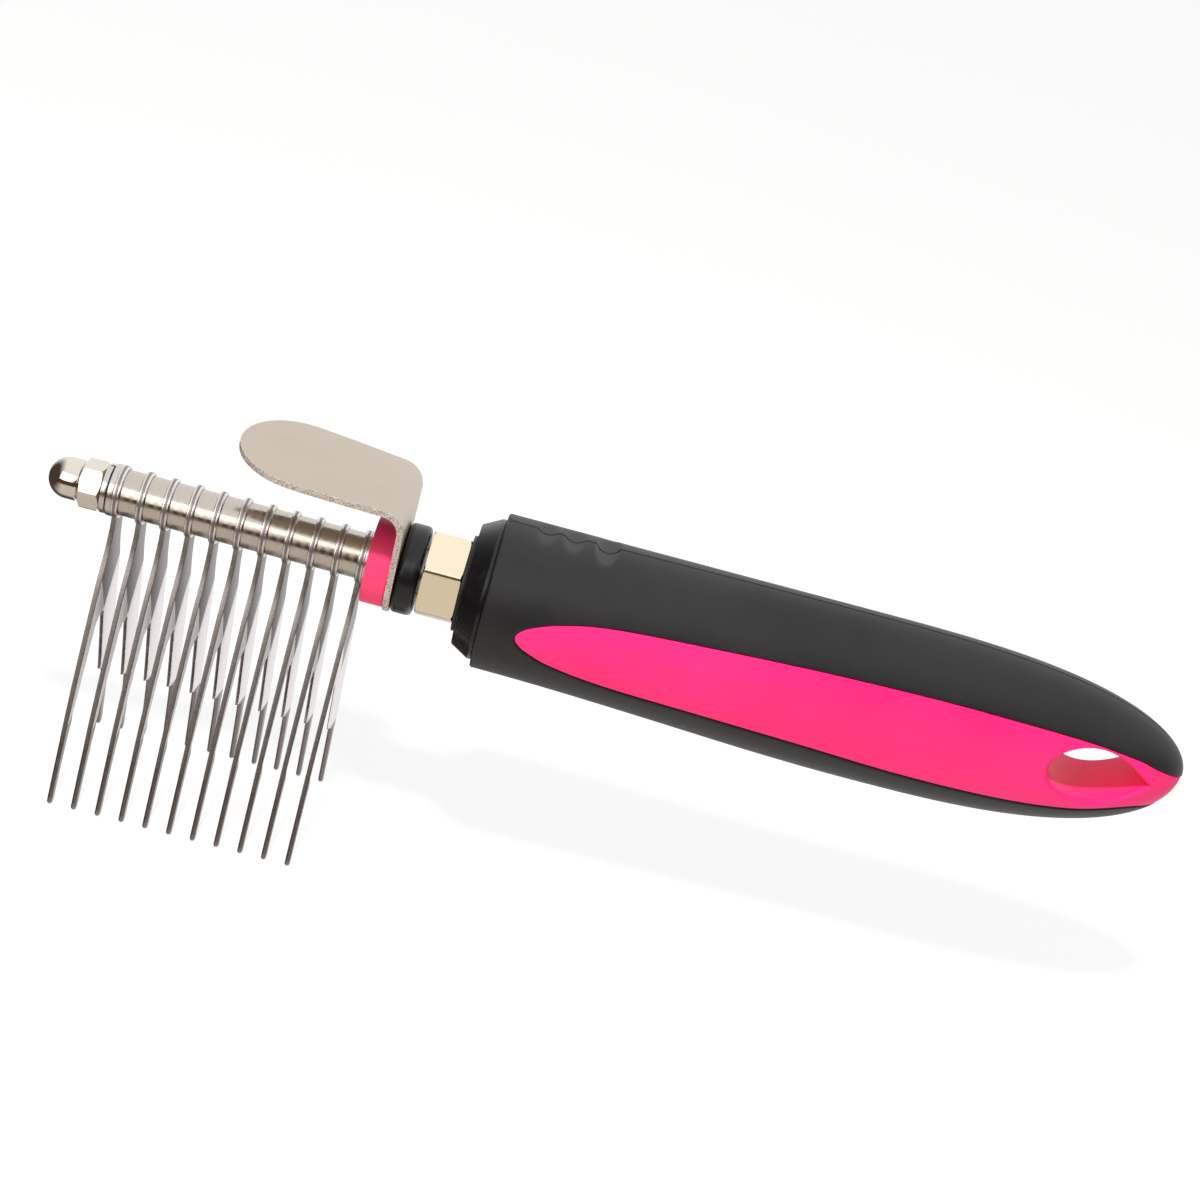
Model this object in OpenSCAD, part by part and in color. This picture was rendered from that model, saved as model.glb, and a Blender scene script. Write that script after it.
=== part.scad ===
// Dematting comb: eleven forked steel blades stacked on a steel rod, with a thumb rest and an
// overmoulded handle. The rod's axis is the X axis, the head points to -X, the forks point to -Z,
// and the origin is the centre of the hanging hole in the handle's tail.

/* [Handle] */
// Length of the handle from its front face to the end of its tail
handle_l = 130; // [120:1:150]
// Distance from the centre of the hanging hole to the end of the tail
hole_to_tail = 18; // [17:0.5:22]
// Radius of the round front end of the grip
front_r = 14.3; // [13.6:0.1:15]
// Height of the grip above the rod axis at its fullest
grip_top = 14.9; // [14:0.1:17]
// Depth of the grip below the rod axis at its fullest
grip_belly = 17.5; // [15:0.1:20]
// Half of the grip's thickness where it is flattened
grip_side = 11.3; // [10:0.1:13]
// Distance from the front face to where the tail starts to close
belly_x = 70; // [60:1:80]
// Thickness of the soft skin over the hard core
skin_t = 2.2; // [1.5:0.1:2.6]
// Distance from the front face to the front tip of the bare side panel
panel_x = 6.5; // [5:0.5:10]
// Height of the side panel's upper edge above the rod axis
panel_top = 6.8; // [5:0.1:8]
// Depth of the side panel's lower edge below the rod axis
panel_low = 10.5; // [8:0.1:12]
// Length of the eye-shaped hanging hole
hole_l = 18.5; // [14:0.5:19]
// Height of the hanging hole
hole_h = 11; // [9:0.5:12]
// Depth of the deepest thumb groove across the top of the grip
groove_depth = 1.3; // [0.6:0.1:2]

/* [Rod and neck] */
// Diameter of the rod inside the handle and the neck
rod_d = 8; // [7:0.5:9]
// Diameter of the rod through the blades
stub_d = 5; // [4:0.5:6]
// Length of the threaded insert that holds the rod in the handle
insert_l = 26; // [20:1:34]
// Length of the chamfered end bush outside the grip
bush_l = 4.2; // [3:0.1:6]
// Radius of the end bush where it meets the grip
bush_r = 13; // [12:0.1:13.4]
// Thickness of the sealing ring behind the lock nut
ring_t = 0.7; // [0.5:0.1:1.5]
// Width across the flats of the lock nut
lock_nut_af = 14.8; // [12:0.1:15]
// Length of the lock nut
lock_nut_l = 7; // [5:0.1:8]
// Free gap between the lock nut and the collar
neck_gap = 0.5; // [0.4:0.1:1.5]
// Length of the collar behind the thumb rest
collar_l = 4; // [3:0.1:7]
// Radius of the collar
collar_r = 8.3; // [7.5:0.1:10]

/* [Thumb rest] */
// Thickness of the thumb rest's steel sheet
sheet_t = 1.2; // [1:0.1:2]
// Height of the thumb pad's upper face above the rod axis
pad_height = 15.9; // [14:0.1:20]
// Length of the thumb rest measured from its leg
pad_l = 32.6; // [28:0.2:40]
// Width of the thumb rest at its bend
pad_waist = 20.2; // [18:0.1:24]
// Greatest width of the thumb pad
pad_w = 22.6; // [21:0.1:28]
// Inner radius of the thumb rest's bend
bend_r = 3.2; // [1.5:0.1:4]
// Rise of the thumb pad towards its free end, in degrees
pad_rise = 4; // [0:0.5:8]
// Turn of the thumb rest about the rod, in degrees
pad_turn = 5; // [0:0.5:10]

/* [Blade stack] */
// Distance from one blade to the next
blade_pitch = 4.5; // [4.2:0.1:6]
// Thickness of each blade
blade_t = 0.9; // [0.6:0.1:1.2]
// Diameter of the ring at the top of each blade
eye_d = 9.6; // [9:0.1:12]
// Diameter of the spacer tubes
spacer_d = 8.4; // [7.5:0.1:9]
// Length of a blade from the rod axis to its tips
blade_l = 57.6; // [50:0.5:70]
// Distance between the outer sides of a blade's two tips
tip_spread = 33.6; // [28:0.5:40]
// Depth of the crotch of the fork below the rod axis
crotch_z = 24.5; // [20:0.5:28]
// Depth of the step where the cutting edge ends
step_z = 41.5; // [37:0.5:46]
// Width of a leg at the crotch
leg_w = 8.2; // [6:0.1:8.6]
// Width of a leg just above the step
leg_step_w = 5.5; // [4.5:0.1:6]
// Width of a tine just below the step
tine_w = 3; // [2.5:0.1:3.5]
// Width of a tine at its tip
tip_w = 1.9; // [1.5:0.1:2.4]
// Width of the ground bevel along the inner edge
bevel_w = 5; // [3:0.1:5.4]
// Thickness left at the ground inner edge
edge_t = 0.2; // [0.1:0.05:0.5]
// Diameter of the pink disc beside the thumb rest
disc_d = 16; // [14:0.1:18]
// Thickness of the pink disc
disc_t = 4.3; // [3:0.1:6]

/* [Washers and cap nut] */
// Thickness of the washer between the disc and the last blade
inner_washer_t = 0.6; // [0.4:0.1:1]
// Thickness of the flat washer
flat_washer_t = 1.2; // [0.8:0.1:1.5]
// Thickness of the spring washer
spring_washer_t = 1.3; // [0.8:0.1:1.6]
// Outer diameter of the washers
washer_d = 9.5; // [9:0.1:12]
// Width across the flats of the cap nut
cap_nut_af = 8; // [7:0.1:10]
// Length of the cap nut's hexagon
cap_hex_l = 4; // [3:0.1:6]
// Diameter of the cap nut's dome
cap_dome_d = 7.5; // [6.4:0.1:8]
// Length of the cap nut's dome
cap_dome_l = 6.2; // [5:0.1:7]

/* [Fits] */
// Radial running clearance of what turns or slides on the rod
run_fit = 0.05; // [0.02:0.01:0.1]
// Gap between the end faces of pieces that move past each other
face_gap = 0.06; // [0.03:0.01:0.1]

/* [Hidden] */
BLADES = 11;
ROUND = 72;
STEPS = 24;
RING_POINTS = 48;
FRONT_STEPS = 14;
TAIL_STEPS = 20;
CUT = 60;

rod_r = rod_d / 2;
stub_r = stub_d / 2;
front_x = hole_to_tail - handle_l;

// Positions along the rod, from the grip's front face towards the cap nut
bush_x = front_x - bush_l;
ring_x = bush_x - face_gap - ring_t;
lock_nut_x = ring_x - face_gap - lock_nut_l;
collar_x = lock_nut_x - neck_gap - collar_l;
leg_x = collar_x - face_gap - sheet_t;
disc_x = leg_x - face_gap - disc_t;
inner_washer_x = disc_x - inner_washer_t;
last_blade_x = inner_washer_x - face_gap - blade_t;
first_blade_x = last_blade_x - (BLADES - 1) * blade_pitch;
flat_washer_x = first_blade_x - face_gap - flat_washer_t;
spring_washer_x = flat_washer_x - spring_washer_t;
cap_x = spring_washer_x - face_gap;
spacer_l = blade_pitch - blade_t;

// Cap nut thread: a blind hole that ends inside the dome, and the rod's end short of its bottom
dome_end_l = 2.4;
thread_gap = 0.8;
cap_hole_l = cap_hex_l + cap_dome_l - dome_end_l;
stub_end_x = cap_x - cap_hole_l + thread_gap;

// Grip mouth, insert and rod hole inside the handle
spigot_r = 9.6;
spigot_l = 7;
insert_r = 6;
insert_gap = 2;
insert_x = spigot_l + insert_gap;
rod_past_insert = 11;
rod_depth = insert_x + insert_l + rod_past_insert;
core_x = 2.5;
core_clear = 0.1;

// Thumb grooves across the top of the grip: distance from the front face and share of the depth
GROOVES = [[7.5, 0.6], [12.5, 0.7], [18.6, 1]];
groove_r = 2.6;

function lerp(a, b, t) = a + (b - a) * t;
function clamp01(t) = min(1, max(0, t));
function smooth(t) = t * t * (3 - 2 * t);

// Closing of the tail, from 1 at the belly to 0 at the end: power sets how blunt it is
function tail(x, l, power) =
    x <= belly_x ? 1 : sqrt(max(0, 1 - pow((x - belly_x) / (l - belly_x), power)));

// Half sizes of the grip at a distance x from its front face, for a body that is inset all over
TALL_POWER = 2.8;
FLAT_POWER = 4;
function half_top(x, inset) =
    (lerp(front_r, grip_top, smooth(clamp01(x / belly_x))) - inset)
    * tail(x, handle_l - inset, TALL_POWER);
function half_low(x, inset) =
    (lerp(front_r, grip_belly, smooth(clamp01(x / belly_x))) - inset)
    * tail(x, handle_l - inset, TALL_POWER);
function half_side(x, inset) =
    (lerp(front_r, grip_side, smooth(clamp01(x / belly_x))) - inset)
    * tail(x, handle_l - inset, FLAT_POWER);

function grip_ring(x, inset) = [
    for (i = [0 : RING_POINTS - 1])
        let (a = 360 * i / RING_POINTS)
        [front_x + x,
         half_side(x, inset) * cos(a),
         sin(a) * (sin(a) > 0 ? half_top(x, inset) : half_low(x, inset))]
];

// Closed skin through rings of equal point count
module loft(rings) {
    n = len(rings[0]);
    m = len(rings);
    points = [for (r = rings, p = r) p];
    sides = [
        for (k = [0 : m - 2], i = [0 : n - 1], half = [0, 1])
            let (j = (i + 1) % n)
            half == 0
                ? [k * n + i, (k + 1) * n + j, k * n + j]
                : [k * n + i, (k + 1) * n + i, (k + 1) * n + j]
    ];
    first = [[for (i = [0 : n - 1]) i]];
    last = [[for (i = [n - 1 : -1 : 0]) (m - 1) * n + i]];
    polyhedron(points, concat(sides, first, last));
}

// The grip's outer form from a start distance, inset all over
TAIL_CLOSE = 88.5;
module grip_form(start, inset) {
    l = handle_l - inset;
    stations = concat(
        [for (i = [0 : FRONT_STEPS - 1]) lerp(start, belly_x, i / FRONT_STEPS)],
        [for (i = [0 : TAIL_STEPS]) belly_x + (l - belly_x) * sin(TAIL_CLOSE * i / TAIL_STEPS)]
    );
    loft([for (x = stations) grip_ring(x, inset)]);
}

// Points on a smooth curve through the given ones
function spline_point(a, b, c, d, t) =
    0.5 * (2 * b + (c - a) * t + (2 * a - 5 * b + 4 * c - d) * t * t
    + (3 * b - a - 3 * c + d) * t * t * t);
SPLINE_STEPS = 4;
function spline(p) = [
    for (i = [0 : len(p) - 2], s = [0 : SPLINE_STEPS - 1])
        spline_point(p[max(0, i - 1)], p[i], p[i + 1], p[min(len(p) - 1, i + 2)], s / SPLINE_STEPS)
];

// Side panel seen along Y, which runs out past the tail's end: shares of its length, and of its
// height above and below its nose
NOSE_Z = -1;
PANEL_TOP = [[0, 0], [0.02, 0.32], [0.06, 0.57], [0.13, 0.77], [0.27, 0.87], [0.57, 1], [0.72, 0.98],
             [0.83, 0.88], [0.905, 0.68], [0.94, 0.49], [1, 0.13]];
PANEL_LOW = [[0, 0], [0.02, 0.28], [0.06, 0.48], [0.14, 0.66], [0.28, 0.79], [0.42, 0.9], [0.58, 1],
             [0.73, 0.97], [0.84, 0.83], [0.92, 0.56], [0.96, 0.53], [1, 0.53]];
PAST_TAIL = 1;
module panel_prism() {
    l = handle_l + PAST_TAIL - panel_x;
    upper = [for (p = PANEL_TOP) [front_x + panel_x + p[0] * l, NOSE_Z + p[1] * (panel_top - NOSE_Z)]];
    lower = [for (p = PANEL_LOW) [front_x + panel_x + p[0] * l, NOSE_Z - p[1] * (panel_low + NOSE_Z)]];
    lower_line = spline(lower);
    outline = concat(
        spline(upper),
        [upper[len(upper) - 1], lower[len(lower) - 1]],
        [for (i = [len(lower_line) - 1 : -1 : 1]) lower_line[i]]
    );
    rotate([90, 0, 0]) linear_extrude(CUT, center = true) polygon(outline);
}

// Hanging hole: round at the front, drawn out to a point at the tail
hole_nose = 0.42;
HOLE_POWER = 1.9;
module hanging_hole() {
    r = hole_h / 2;
    nose = hole_l * hole_nose;
    point_l = hole_l - nose;
    front = [
        for (i = [0 : STEPS])
            let (a = 90 + 180 * i / STEPS)
            [nose * cos(a), r * sin(a)]
    ];
    rear = [
        for (i = [-STEPS + 1 : STEPS - 1])
            let (t = 1 - abs(i) / STEPS)
            [point_l * t, sign(i) * r * (1 - pow(t, HOLE_POWER))]
    ];
    rotate([90, 0, 0]) linear_extrude(CUT, center = true) polygon(concat(front, rear));
}

module along_x(x) {
    translate([x, 0, 0]) rotate([0, 90, 0]) children();
}
module rod_cylinder(x, l, r) {
    along_x(x) cylinder(h = l, r = r, $fn = ROUND);
}
module rod_cone(x, l, r1, r2) {
    along_x(x) cylinder(h = l, r1 = r1, r2 = r2, $fn = ROUND);
}
module ring(x, l, outer_r, inner_r) {
    difference() {
        rod_cylinder(x, l, outer_r);
        rod_cylinder(x - 1, l + 2, inner_r);
    }
}
// Hexagon with two corners straight up and down, then turned about the rod
module hex_bar(x, l, af, turn = 0) {
    rotate([turn, 0, 0]) along_x(x) cylinder(h = l, r = af / sqrt(3), $fn = 6);
}
// Turned body that trims a hexagon's corners to 30 degrees at both ends: face_share is the radius
// at which the trim starts, as a share of half the width across the flats
TRIM_OVER = 0.4;
module hex_trim(x, l, af, face_share) {
    over_r = af / sqrt(3) + TRIM_OVER;
    face_r = af / 2 * face_share;
    slope_l = (over_r - face_r) * tan(30);
    along_x(x) rotate_extrude($fn = ROUND) polygon([
        [0, 0],
        [face_r, 0],
        [over_r, slope_l],
        [over_r, l - slope_l],
        [face_r, l],
        [0, l]
    ]);
}

module handle_core() {
    color("#ff2d7f") difference() {
        union() {
            grip_form(core_x, skin_t);
            intersection() {
                grip_form(core_x, 0);
                panel_prism();
            }
        }
        rod_cylinder(front_x - 1, spigot_l + core_clear + 1, spigot_r + core_clear);
        rod_cylinder(front_x, insert_x + insert_l + core_clear, insert_r);
        rod_cylinder(front_x, rod_depth + 1, rod_r + core_clear);
        hanging_hole();
    }
}

module grip_sleeve() {
    color("#2c2c2e") difference() {
        grip_form(0, 0);
        grip_form(core_x, skin_t);
        panel_prism();
        hanging_hole();
        rod_cylinder(front_x - 1, spigot_l + 2, spigot_r + core_clear);
        for (g = GROOVES)
            translate([front_x + g[0], 0, front_r + groove_r - groove_depth * g[1]])
                rotate([90, 0, 0])
                    cylinder(h = CUT, r = groove_r, center = true, $fn = ROUND);
    }
}

// Bush: a chamfered flange against the grip, and a spigot that fills the grip's mouth
bush_rim_l = 0.8;
bush_chamfer = 1.9;
module end_bush() {
    cone_l = bush_l - bush_rim_l;
    color("#151517") difference() {
        union() {
            rod_cone(bush_x, cone_l, bush_r - bush_chamfer, bush_r);
            rod_cylinder(bush_x + cone_l, bush_rim_l, bush_r);
            rod_cylinder(front_x - bush_rim_l / 2, spigot_l + bush_rim_l / 2, spigot_r);
        }
        rod_cylinder(bush_x - 1, bush_l + spigot_l + 2, rod_r + core_clear);
    }
}

// Insert moulded into the core, held by its bands
INSERT_BANDS = 3;
band_l = 6;
band_h = 0.4;
module threaded_insert() {
    color("#b89a55") difference() {
        union() {
            rod_cylinder(front_x + insert_x, insert_l, insert_r - band_h);
            for (i = [0 : INSERT_BANDS - 1])
                rod_cylinder(
                    front_x + insert_x + i * (insert_l - band_l) / (INSERT_BANDS - 1),
                    band_l,
                    insert_r
                );
        }
        rod_cylinder(front_x + insert_x - 1, insert_l + 2, rod_r);
    }
}

rod_chamfer = 0.6;
module centre_rod() {
    color("#bdb6ab") {
        rod_cone(stub_end_x, rod_chamfer, stub_r - rod_chamfer, stub_r);
        rod_cylinder(stub_end_x + rod_chamfer, collar_x - stub_end_x - rod_chamfer, stub_r);
        rod_cylinder(collar_x, front_x + rod_depth - collar_x - rod_chamfer, rod_r);
        rod_cone(front_x + rod_depth - rod_chamfer, rod_chamfer, rod_r, rod_r - rod_chamfer);
    }
}

ring_over = 0.3;
module sealing_ring() {
    color("#1a1a1c") ring(ring_x, ring_t, lock_nut_af / sqrt(3) + ring_over, rod_r + run_fit);
}

lock_nut_face = 1.08;
module lock_nut() {
    color("#e3cf9b") difference() {
        intersection() {
            hex_bar(lock_nut_x, lock_nut_l, lock_nut_af);
            hex_trim(lock_nut_x, lock_nut_l, lock_nut_af, lock_nut_face);
        }
        rod_cylinder(lock_nut_x - 1, lock_nut_l + 2, rod_r + run_fit);
    }
}

collar_round = 1;
module rod_collar() {
    bore_r = rod_r + run_fit;
    color("#1c1c20") along_x(collar_x) rotate_extrude($fn = ROUND) {
        translate([bore_r, 0]) square([collar_r - collar_round - bore_r, collar_l]);
        translate([bore_r, collar_round]) square([collar_r - bore_r, collar_l - 2 * collar_round]);
        for (z = [collar_round, collar_l - collar_round])
            translate([collar_r - collar_round, z]) circle(r = collar_round, $fn = ROUND);
    }
}

// Side view of the bent sheet: leg, bend and thumb pad, in X and Z
module sheet_side() {
    bend_x = leg_x - bend_r;
    bend_z = pad_height - sheet_t - bend_r;
    outer_r = bend_r + sheet_t;
    translate([leg_x, -CUT / 2]) square([sheet_t, CUT / 2 + bend_z]);
    translate([bend_x, bend_z]) {
        intersection() {
            difference() {
                circle(r = outer_r, $fn = ROUND);
                circle(r = bend_r, $fn = ROUND);
            }
            polygon([
                [0, 0],
                [2 * outer_r, 0],
                [2 * outer_r, 2 * outer_r],
                [2 * outer_r * tan(pad_rise), 2 * outer_r]
            ]);
        }
        rotate(-pad_rise) translate([-CUT, bend_r]) square([CUT, sheet_t]);
    }
}

// Plan of the thumb pad, from the bend to its round free end
module pad_plan() {
    end_x = leg_x + sheet_t - pad_l;
    wide_x = end_x + pad_w / 2;
    bend_x = leg_x - bend_r;
    steps = 8;
    side = [
        for (i = [0 : steps])
            let (t = i / steps)
            [lerp(bend_x, wide_x, t), lerp(pad_waist, pad_w, smooth(t)) / 2]
    ];
    other = [for (i = [steps : -1 : 0]) [side[i][0], -side[i][1]]];
    polygon(concat([[leg_x + CUT, pad_waist / 2]], side, other, [[leg_x + CUT, -pad_waist / 2]]));
    translate([wide_x, 0]) circle(d = pad_w, $fn = ROUND);
}

// Front view of the leg, from its round foot to the width of the bend, in Y and Z
foot_over = 0.2;
module leg_front() {
    foot_r = collar_r + foot_over;
    shoulder_z = pad_height - sheet_t - bend_r;
    circle(r = foot_r, $fn = ROUND);
    polygon([
        [-foot_r, 0],
        [foot_r, 0],
        [pad_waist / 2, shoulder_z],
        [CUT, shoulder_z],
        [CUT, CUT],
        [-CUT, CUT],
        [-CUT, shoulder_z],
        [-pad_waist / 2, shoulder_z]
    ]);
}

module thumb_rest() {
    color("#cbbfb0") rotate([pad_turn, 0, 0]) difference() {
        intersection() {
            rotate([90, 0, 0]) linear_extrude(CUT, center = true) sheet_side();
            translate([0, 0, -CUT]) linear_extrude(2 * CUT) pad_plan();
            translate([-2 * CUT + leg_x, 0, 0]) rotate([90, 0, 90]) linear_extrude(4 * CUT) leg_front();
        }
        rod_cylinder(leg_x - 1, sheet_t + 2, stub_r + run_fit);
    }
}

module spacer_disc() {
    color("#e63c69") ring(disc_x, disc_t, disc_d / 2, stub_r + run_fit);
}

module inner_washer() {
    color("#c2bab0") ring(inner_washer_x, inner_washer_t, washer_d / 2, stub_r + run_fit);
}

// Outer side of a blade's leg at depth z below the rod axis
neck_w = 5.6;
neck_z = 6.3;
leg_bow = 1.5;
function leg_share(z) = (z - neck_z) / (blade_l - neck_z);
function leg_outer(z) =
    lerp(neck_w / 2, tip_spread / 2, leg_share(z)) + 4 * leg_bow * leg_share(z) * (1 - leg_share(z));
function cut_share(z) = (z - crotch_z) / (step_z - crotch_z);
function tine_share(z) = (z - step_z) / (blade_l - step_z);
function leg_inner(z) = leg_outer(z) - lerp(leg_w, leg_step_w, cut_share(z));
function tine_inner(z) = leg_outer(z) - lerp(tine_w, tip_w, tine_share(z));
// Height of the slope that joins the cutting edge to the slimmer tine
step_l = 1.2;

// Half width left at the bottom of the crotch
crotch_r = 0.3;

function arc(y, z, r, from, to, steps) = [
    for (i = [0 : steps])
        let (a = lerp(from, to, i / steps))
        [y + r * cos(a), z + r * sin(a)]
];

// One side of the blade seen along the rod, in Y and Z: from the top of the eye round to the crotch
EDGE_STEPS = 8;
function blade_side() =
    let (
        tip_r = tip_w / 2,
        tip_z = blade_l - tip_r,
        eye_end = -acos(neck_w / eye_d),
        eye = arc(0, 0, eye_d / 2, 90, eye_end, STEPS),
        outer = [for (i = [0 : STEPS - 1]) let (z = lerp(neck_z, tip_z, i / STEPS)) [leg_outer(z), -z]],
        tip = arc(leg_outer(tip_z) - tip_r, -tip_z, tip_r, 0, -180, EDGE_STEPS),
        tine = [
            for (i = [1 : EDGE_STEPS])
                let (z = lerp(tip_z, step_z + step_l, i / EDGE_STEPS))
                [tine_inner(z), -z]
        ],
        inner = [
            for (i = [0 : EDGE_STEPS])
                let (z = lerp(step_z, crotch_z, i / EDGE_STEPS))
                [max(crotch_r, leg_inner(z)), -z]
        ]
    )
    concat(eye, outer, tip, tine, inner);

module blade_outline() {
    side = blade_side();
    other = [for (i = [len(side) - 1 : -1 : 1]) [-side[i][0], side[i][1]]];
    polygon(concat(side, other));
}

// Ground bevel on the face of one leg that looks to the handle
bevel_start = 3.5;
BEVEL_OVER = 0.6;
module leg_bevel() {
    top_z = crotch_z + bevel_start;
    top = [leg_inner(top_z), -top_z];
    low = [leg_inner(step_z), -step_z];
    along = low - top;
    l = norm(along);
    tilt = atan2(along[0], -along[1]);
    translate([0, top[0], top[1]]) rotate([tilt, 0, 0]) translate([0, 0, -l])
        linear_extrude(l)
            polygon([
                [edge_t, -BEVEL_OVER],
                [edge_t, 0],
                [blade_t + 1, bevel_w * (blade_t + 1 - edge_t) / (blade_t - edge_t)],
                [blade_t + 1, -BEVEL_OVER]
            ]);
}

module blade(index) {
    color("#a8a29a") translate([first_blade_x + (index - 1) * blade_pitch, 0, 0]) difference() {
        rotate([90, 0, 90]) linear_extrude(blade_t) blade_outline();
        leg_bevel();
        mirror([0, 1, 0]) leg_bevel();
        rod_cylinder(-1, blade_t + 2, stub_r + run_fit);
    }
}

module spacer(index) {
    x = first_blade_x + blade_t + (index - 1) * blade_pitch;
    color("#b9b1a4") ring(x, spacer_l, spacer_d / 2, stub_r + run_fit);
}

module flat_washer() {
    color("#cfc9c0") ring(flat_washer_x, flat_washer_t, washer_d / 2, stub_r + run_fit);
}

// Spring washer with its slanting split
split_w = 0.7;
module spring_washer() {
    color("#d8d2c8") difference() {
        ring(spring_washer_x, spring_washer_t, washer_d / 2 - 0.1, stub_r + run_fit);
        translate([spring_washer_x + spring_washer_t / 2, 0, washer_d / 2]) rotate([0, 0, 25])
            cube([4 * spring_washer_t, split_w, washer_d], center = true);
    }
}

// Turn of the cap nut at which it is tight
cap_turn = 30;
cap_nut_face = 0.98;
module cap_nut() {
    dome_r = cap_dome_d / 2;
    root_l = 0.5;
    color("#e6e0da") difference() {
        union() {
            intersection() {
                hex_bar(cap_x - cap_hex_l, cap_hex_l, cap_nut_af, cap_turn);
                hex_trim(cap_x - cap_hex_l, cap_hex_l, cap_nut_af, cap_nut_face);
            }
            along_x(cap_x - cap_hex_l - cap_dome_l) rotate_extrude($fn = ROUND) {
                translate([0, dome_r]) square([dome_r, cap_dome_l + root_l - dome_r]);
                intersection() {
                    translate([0, dome_r]) circle(r = dome_r, $fn = ROUND);
                    square(dome_r);
                }
            }
        }
        rod_cylinder(cap_x - cap_hole_l, cap_hole_l + 1, stub_r + run_fit);
    }
}

handle_core();
grip_sleeve();
end_bush();
threaded_insert();
centre_rod();
sealing_ring();
lock_nut();
rod_collar();
thumb_rest();
spacer_disc();
inner_washer();
blade(1);  // blade_01
blade(2);  // blade_02
blade(3);  // blade_03
blade(4);  // blade_04
blade(5);  // blade_05
blade(6);  // blade_06
blade(7);  // blade_07
blade(8);  // blade_08
blade(9);  // blade_09
blade(10);  // blade_10
blade(11);  // blade_11
spacer(1);  // spacer_01
spacer(2);  // spacer_02
spacer(3);  // spacer_03
spacer(4);  // spacer_04
spacer(5);  // spacer_05
spacer(6);  // spacer_06
spacer(7);  // spacer_07
spacer(8);  // spacer_08
spacer(9);  // spacer_09
spacer(10);  // spacer_10
flat_washer();
spring_washer();
cap_nut();
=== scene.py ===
import math

import bmesh
import bpy
from mathutils import Matrix, Vector
from mathutils.geometry import delaunay_2d_cdt, intersect_line_line_2d


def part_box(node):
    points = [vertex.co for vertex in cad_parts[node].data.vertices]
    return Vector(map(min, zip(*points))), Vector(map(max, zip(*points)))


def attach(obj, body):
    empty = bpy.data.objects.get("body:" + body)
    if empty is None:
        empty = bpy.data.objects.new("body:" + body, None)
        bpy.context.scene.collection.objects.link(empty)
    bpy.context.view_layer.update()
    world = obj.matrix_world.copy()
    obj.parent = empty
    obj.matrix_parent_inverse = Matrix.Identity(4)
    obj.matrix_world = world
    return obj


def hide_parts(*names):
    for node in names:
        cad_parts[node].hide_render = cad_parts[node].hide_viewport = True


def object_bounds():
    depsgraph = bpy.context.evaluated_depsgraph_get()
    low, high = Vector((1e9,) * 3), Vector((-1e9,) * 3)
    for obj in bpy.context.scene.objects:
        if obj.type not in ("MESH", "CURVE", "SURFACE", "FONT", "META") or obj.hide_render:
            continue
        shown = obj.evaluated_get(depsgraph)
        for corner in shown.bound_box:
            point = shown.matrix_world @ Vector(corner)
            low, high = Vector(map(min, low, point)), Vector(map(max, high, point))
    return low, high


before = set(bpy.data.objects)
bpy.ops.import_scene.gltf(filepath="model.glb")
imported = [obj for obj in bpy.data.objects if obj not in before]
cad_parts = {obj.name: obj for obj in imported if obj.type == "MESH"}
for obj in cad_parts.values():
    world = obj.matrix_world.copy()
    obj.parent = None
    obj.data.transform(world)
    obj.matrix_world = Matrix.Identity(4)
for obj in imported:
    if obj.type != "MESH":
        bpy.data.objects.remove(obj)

cad_box = [list(corner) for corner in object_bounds()]

# ---------------------------------------------------------------------------------------------
# Rod: a ground steel bar, 8 mm through the handle and 5 mm through the blades. It shows only in
# the narrow gaps between the pieces that are threaded on it, so the solid itself is dressed.

MM = 0.001


def linear(code):
    """An sRGB hex colour as linear RGBA."""
    shares = [int(code[i:i + 2], 16) / 255 for i in (1, 3, 5)]
    return tuple(v / 12.92 if v <= 0.04045 else ((v + 0.055) / 1.055) ** 2.4 for v in shares) + (1.0,)


def add(tree, kind, inputs=None, **settings):
    """Adds a shader node: settings are its own, inputs are values, or sockets to link from."""
    made = tree.nodes.new("ShaderNode" + kind)
    for name, value in settings.items():
        setattr(made, name, value)
    for key, value in (inputs or {}).items():
        if isinstance(value, bpy.types.NodeSocket):
            tree.links.new(value, made.inputs[key])
        else:
            made.inputs[key].default_value = value
    return made


def blank(name):
    """A new material with an empty node tree."""
    made = bpy.data.materials.new(name)
    made.use_nodes = True
    made.node_tree.nodes.clear()
    return made, made.node_tree


# Stainless steel, centreless ground: fine rings round the bar break its reflections across them.
GRIND_STEP = 0.25 * MM  # length of one radian of the rings, which so lie about 1.6 mm apart
WAVE_RATE = 20          # radians in a metre of a wave texture at scale 1


def tool_rings(tree, distortion, detail):
    """Fine rings round the rod's axis, as a wheel or a lathe tool leaves them."""
    place = add(tree, "TexCoord").outputs["Object"]
    return add(tree, "TexWave", {
        "Vector": place, "Scale": 1 / (GRIND_STEP * WAVE_RATE), "Distortion": distortion,
        "Detail": detail}, bands_direction="X").outputs["Fac"]


def surface(tree, height, strength, depth, look):
    """Ends a material: a principled surface, with the height as a relief of that depth."""
    bump = add(tree, "Bump", {"Height": height, "Strength": strength, "Distance": depth})
    made = add(tree, "BsdfPrincipled", {**look, "Normal": bump.outputs[0]})
    add(tree, "OutputMaterial", {"Surface": made.outputs[0]})


def dress(node, finish):
    """Gives a solid that stays in view its material, through the slots of its object."""
    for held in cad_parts[node].material_slots:
        held.link = "OBJECT"
        held.material = finish


ground_steel, tree = blank("stainless_steel_ground")
surface(tree, tool_rings(tree, 2.0, 3.0), 0.15, 0.01 * MM,
        {"Base Color": linear("#BDB6AB"), "Metallic": 1.0, "Roughness": 0.3})
dress("centre_rod", ground_steel)

# ---------------------------------------------------------------------------------------------
# Threaded insert: a banded brass bush moulded into the core. Nothing of it shows, but it is
# dressed as turned brass for whoever takes the handle apart.

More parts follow.
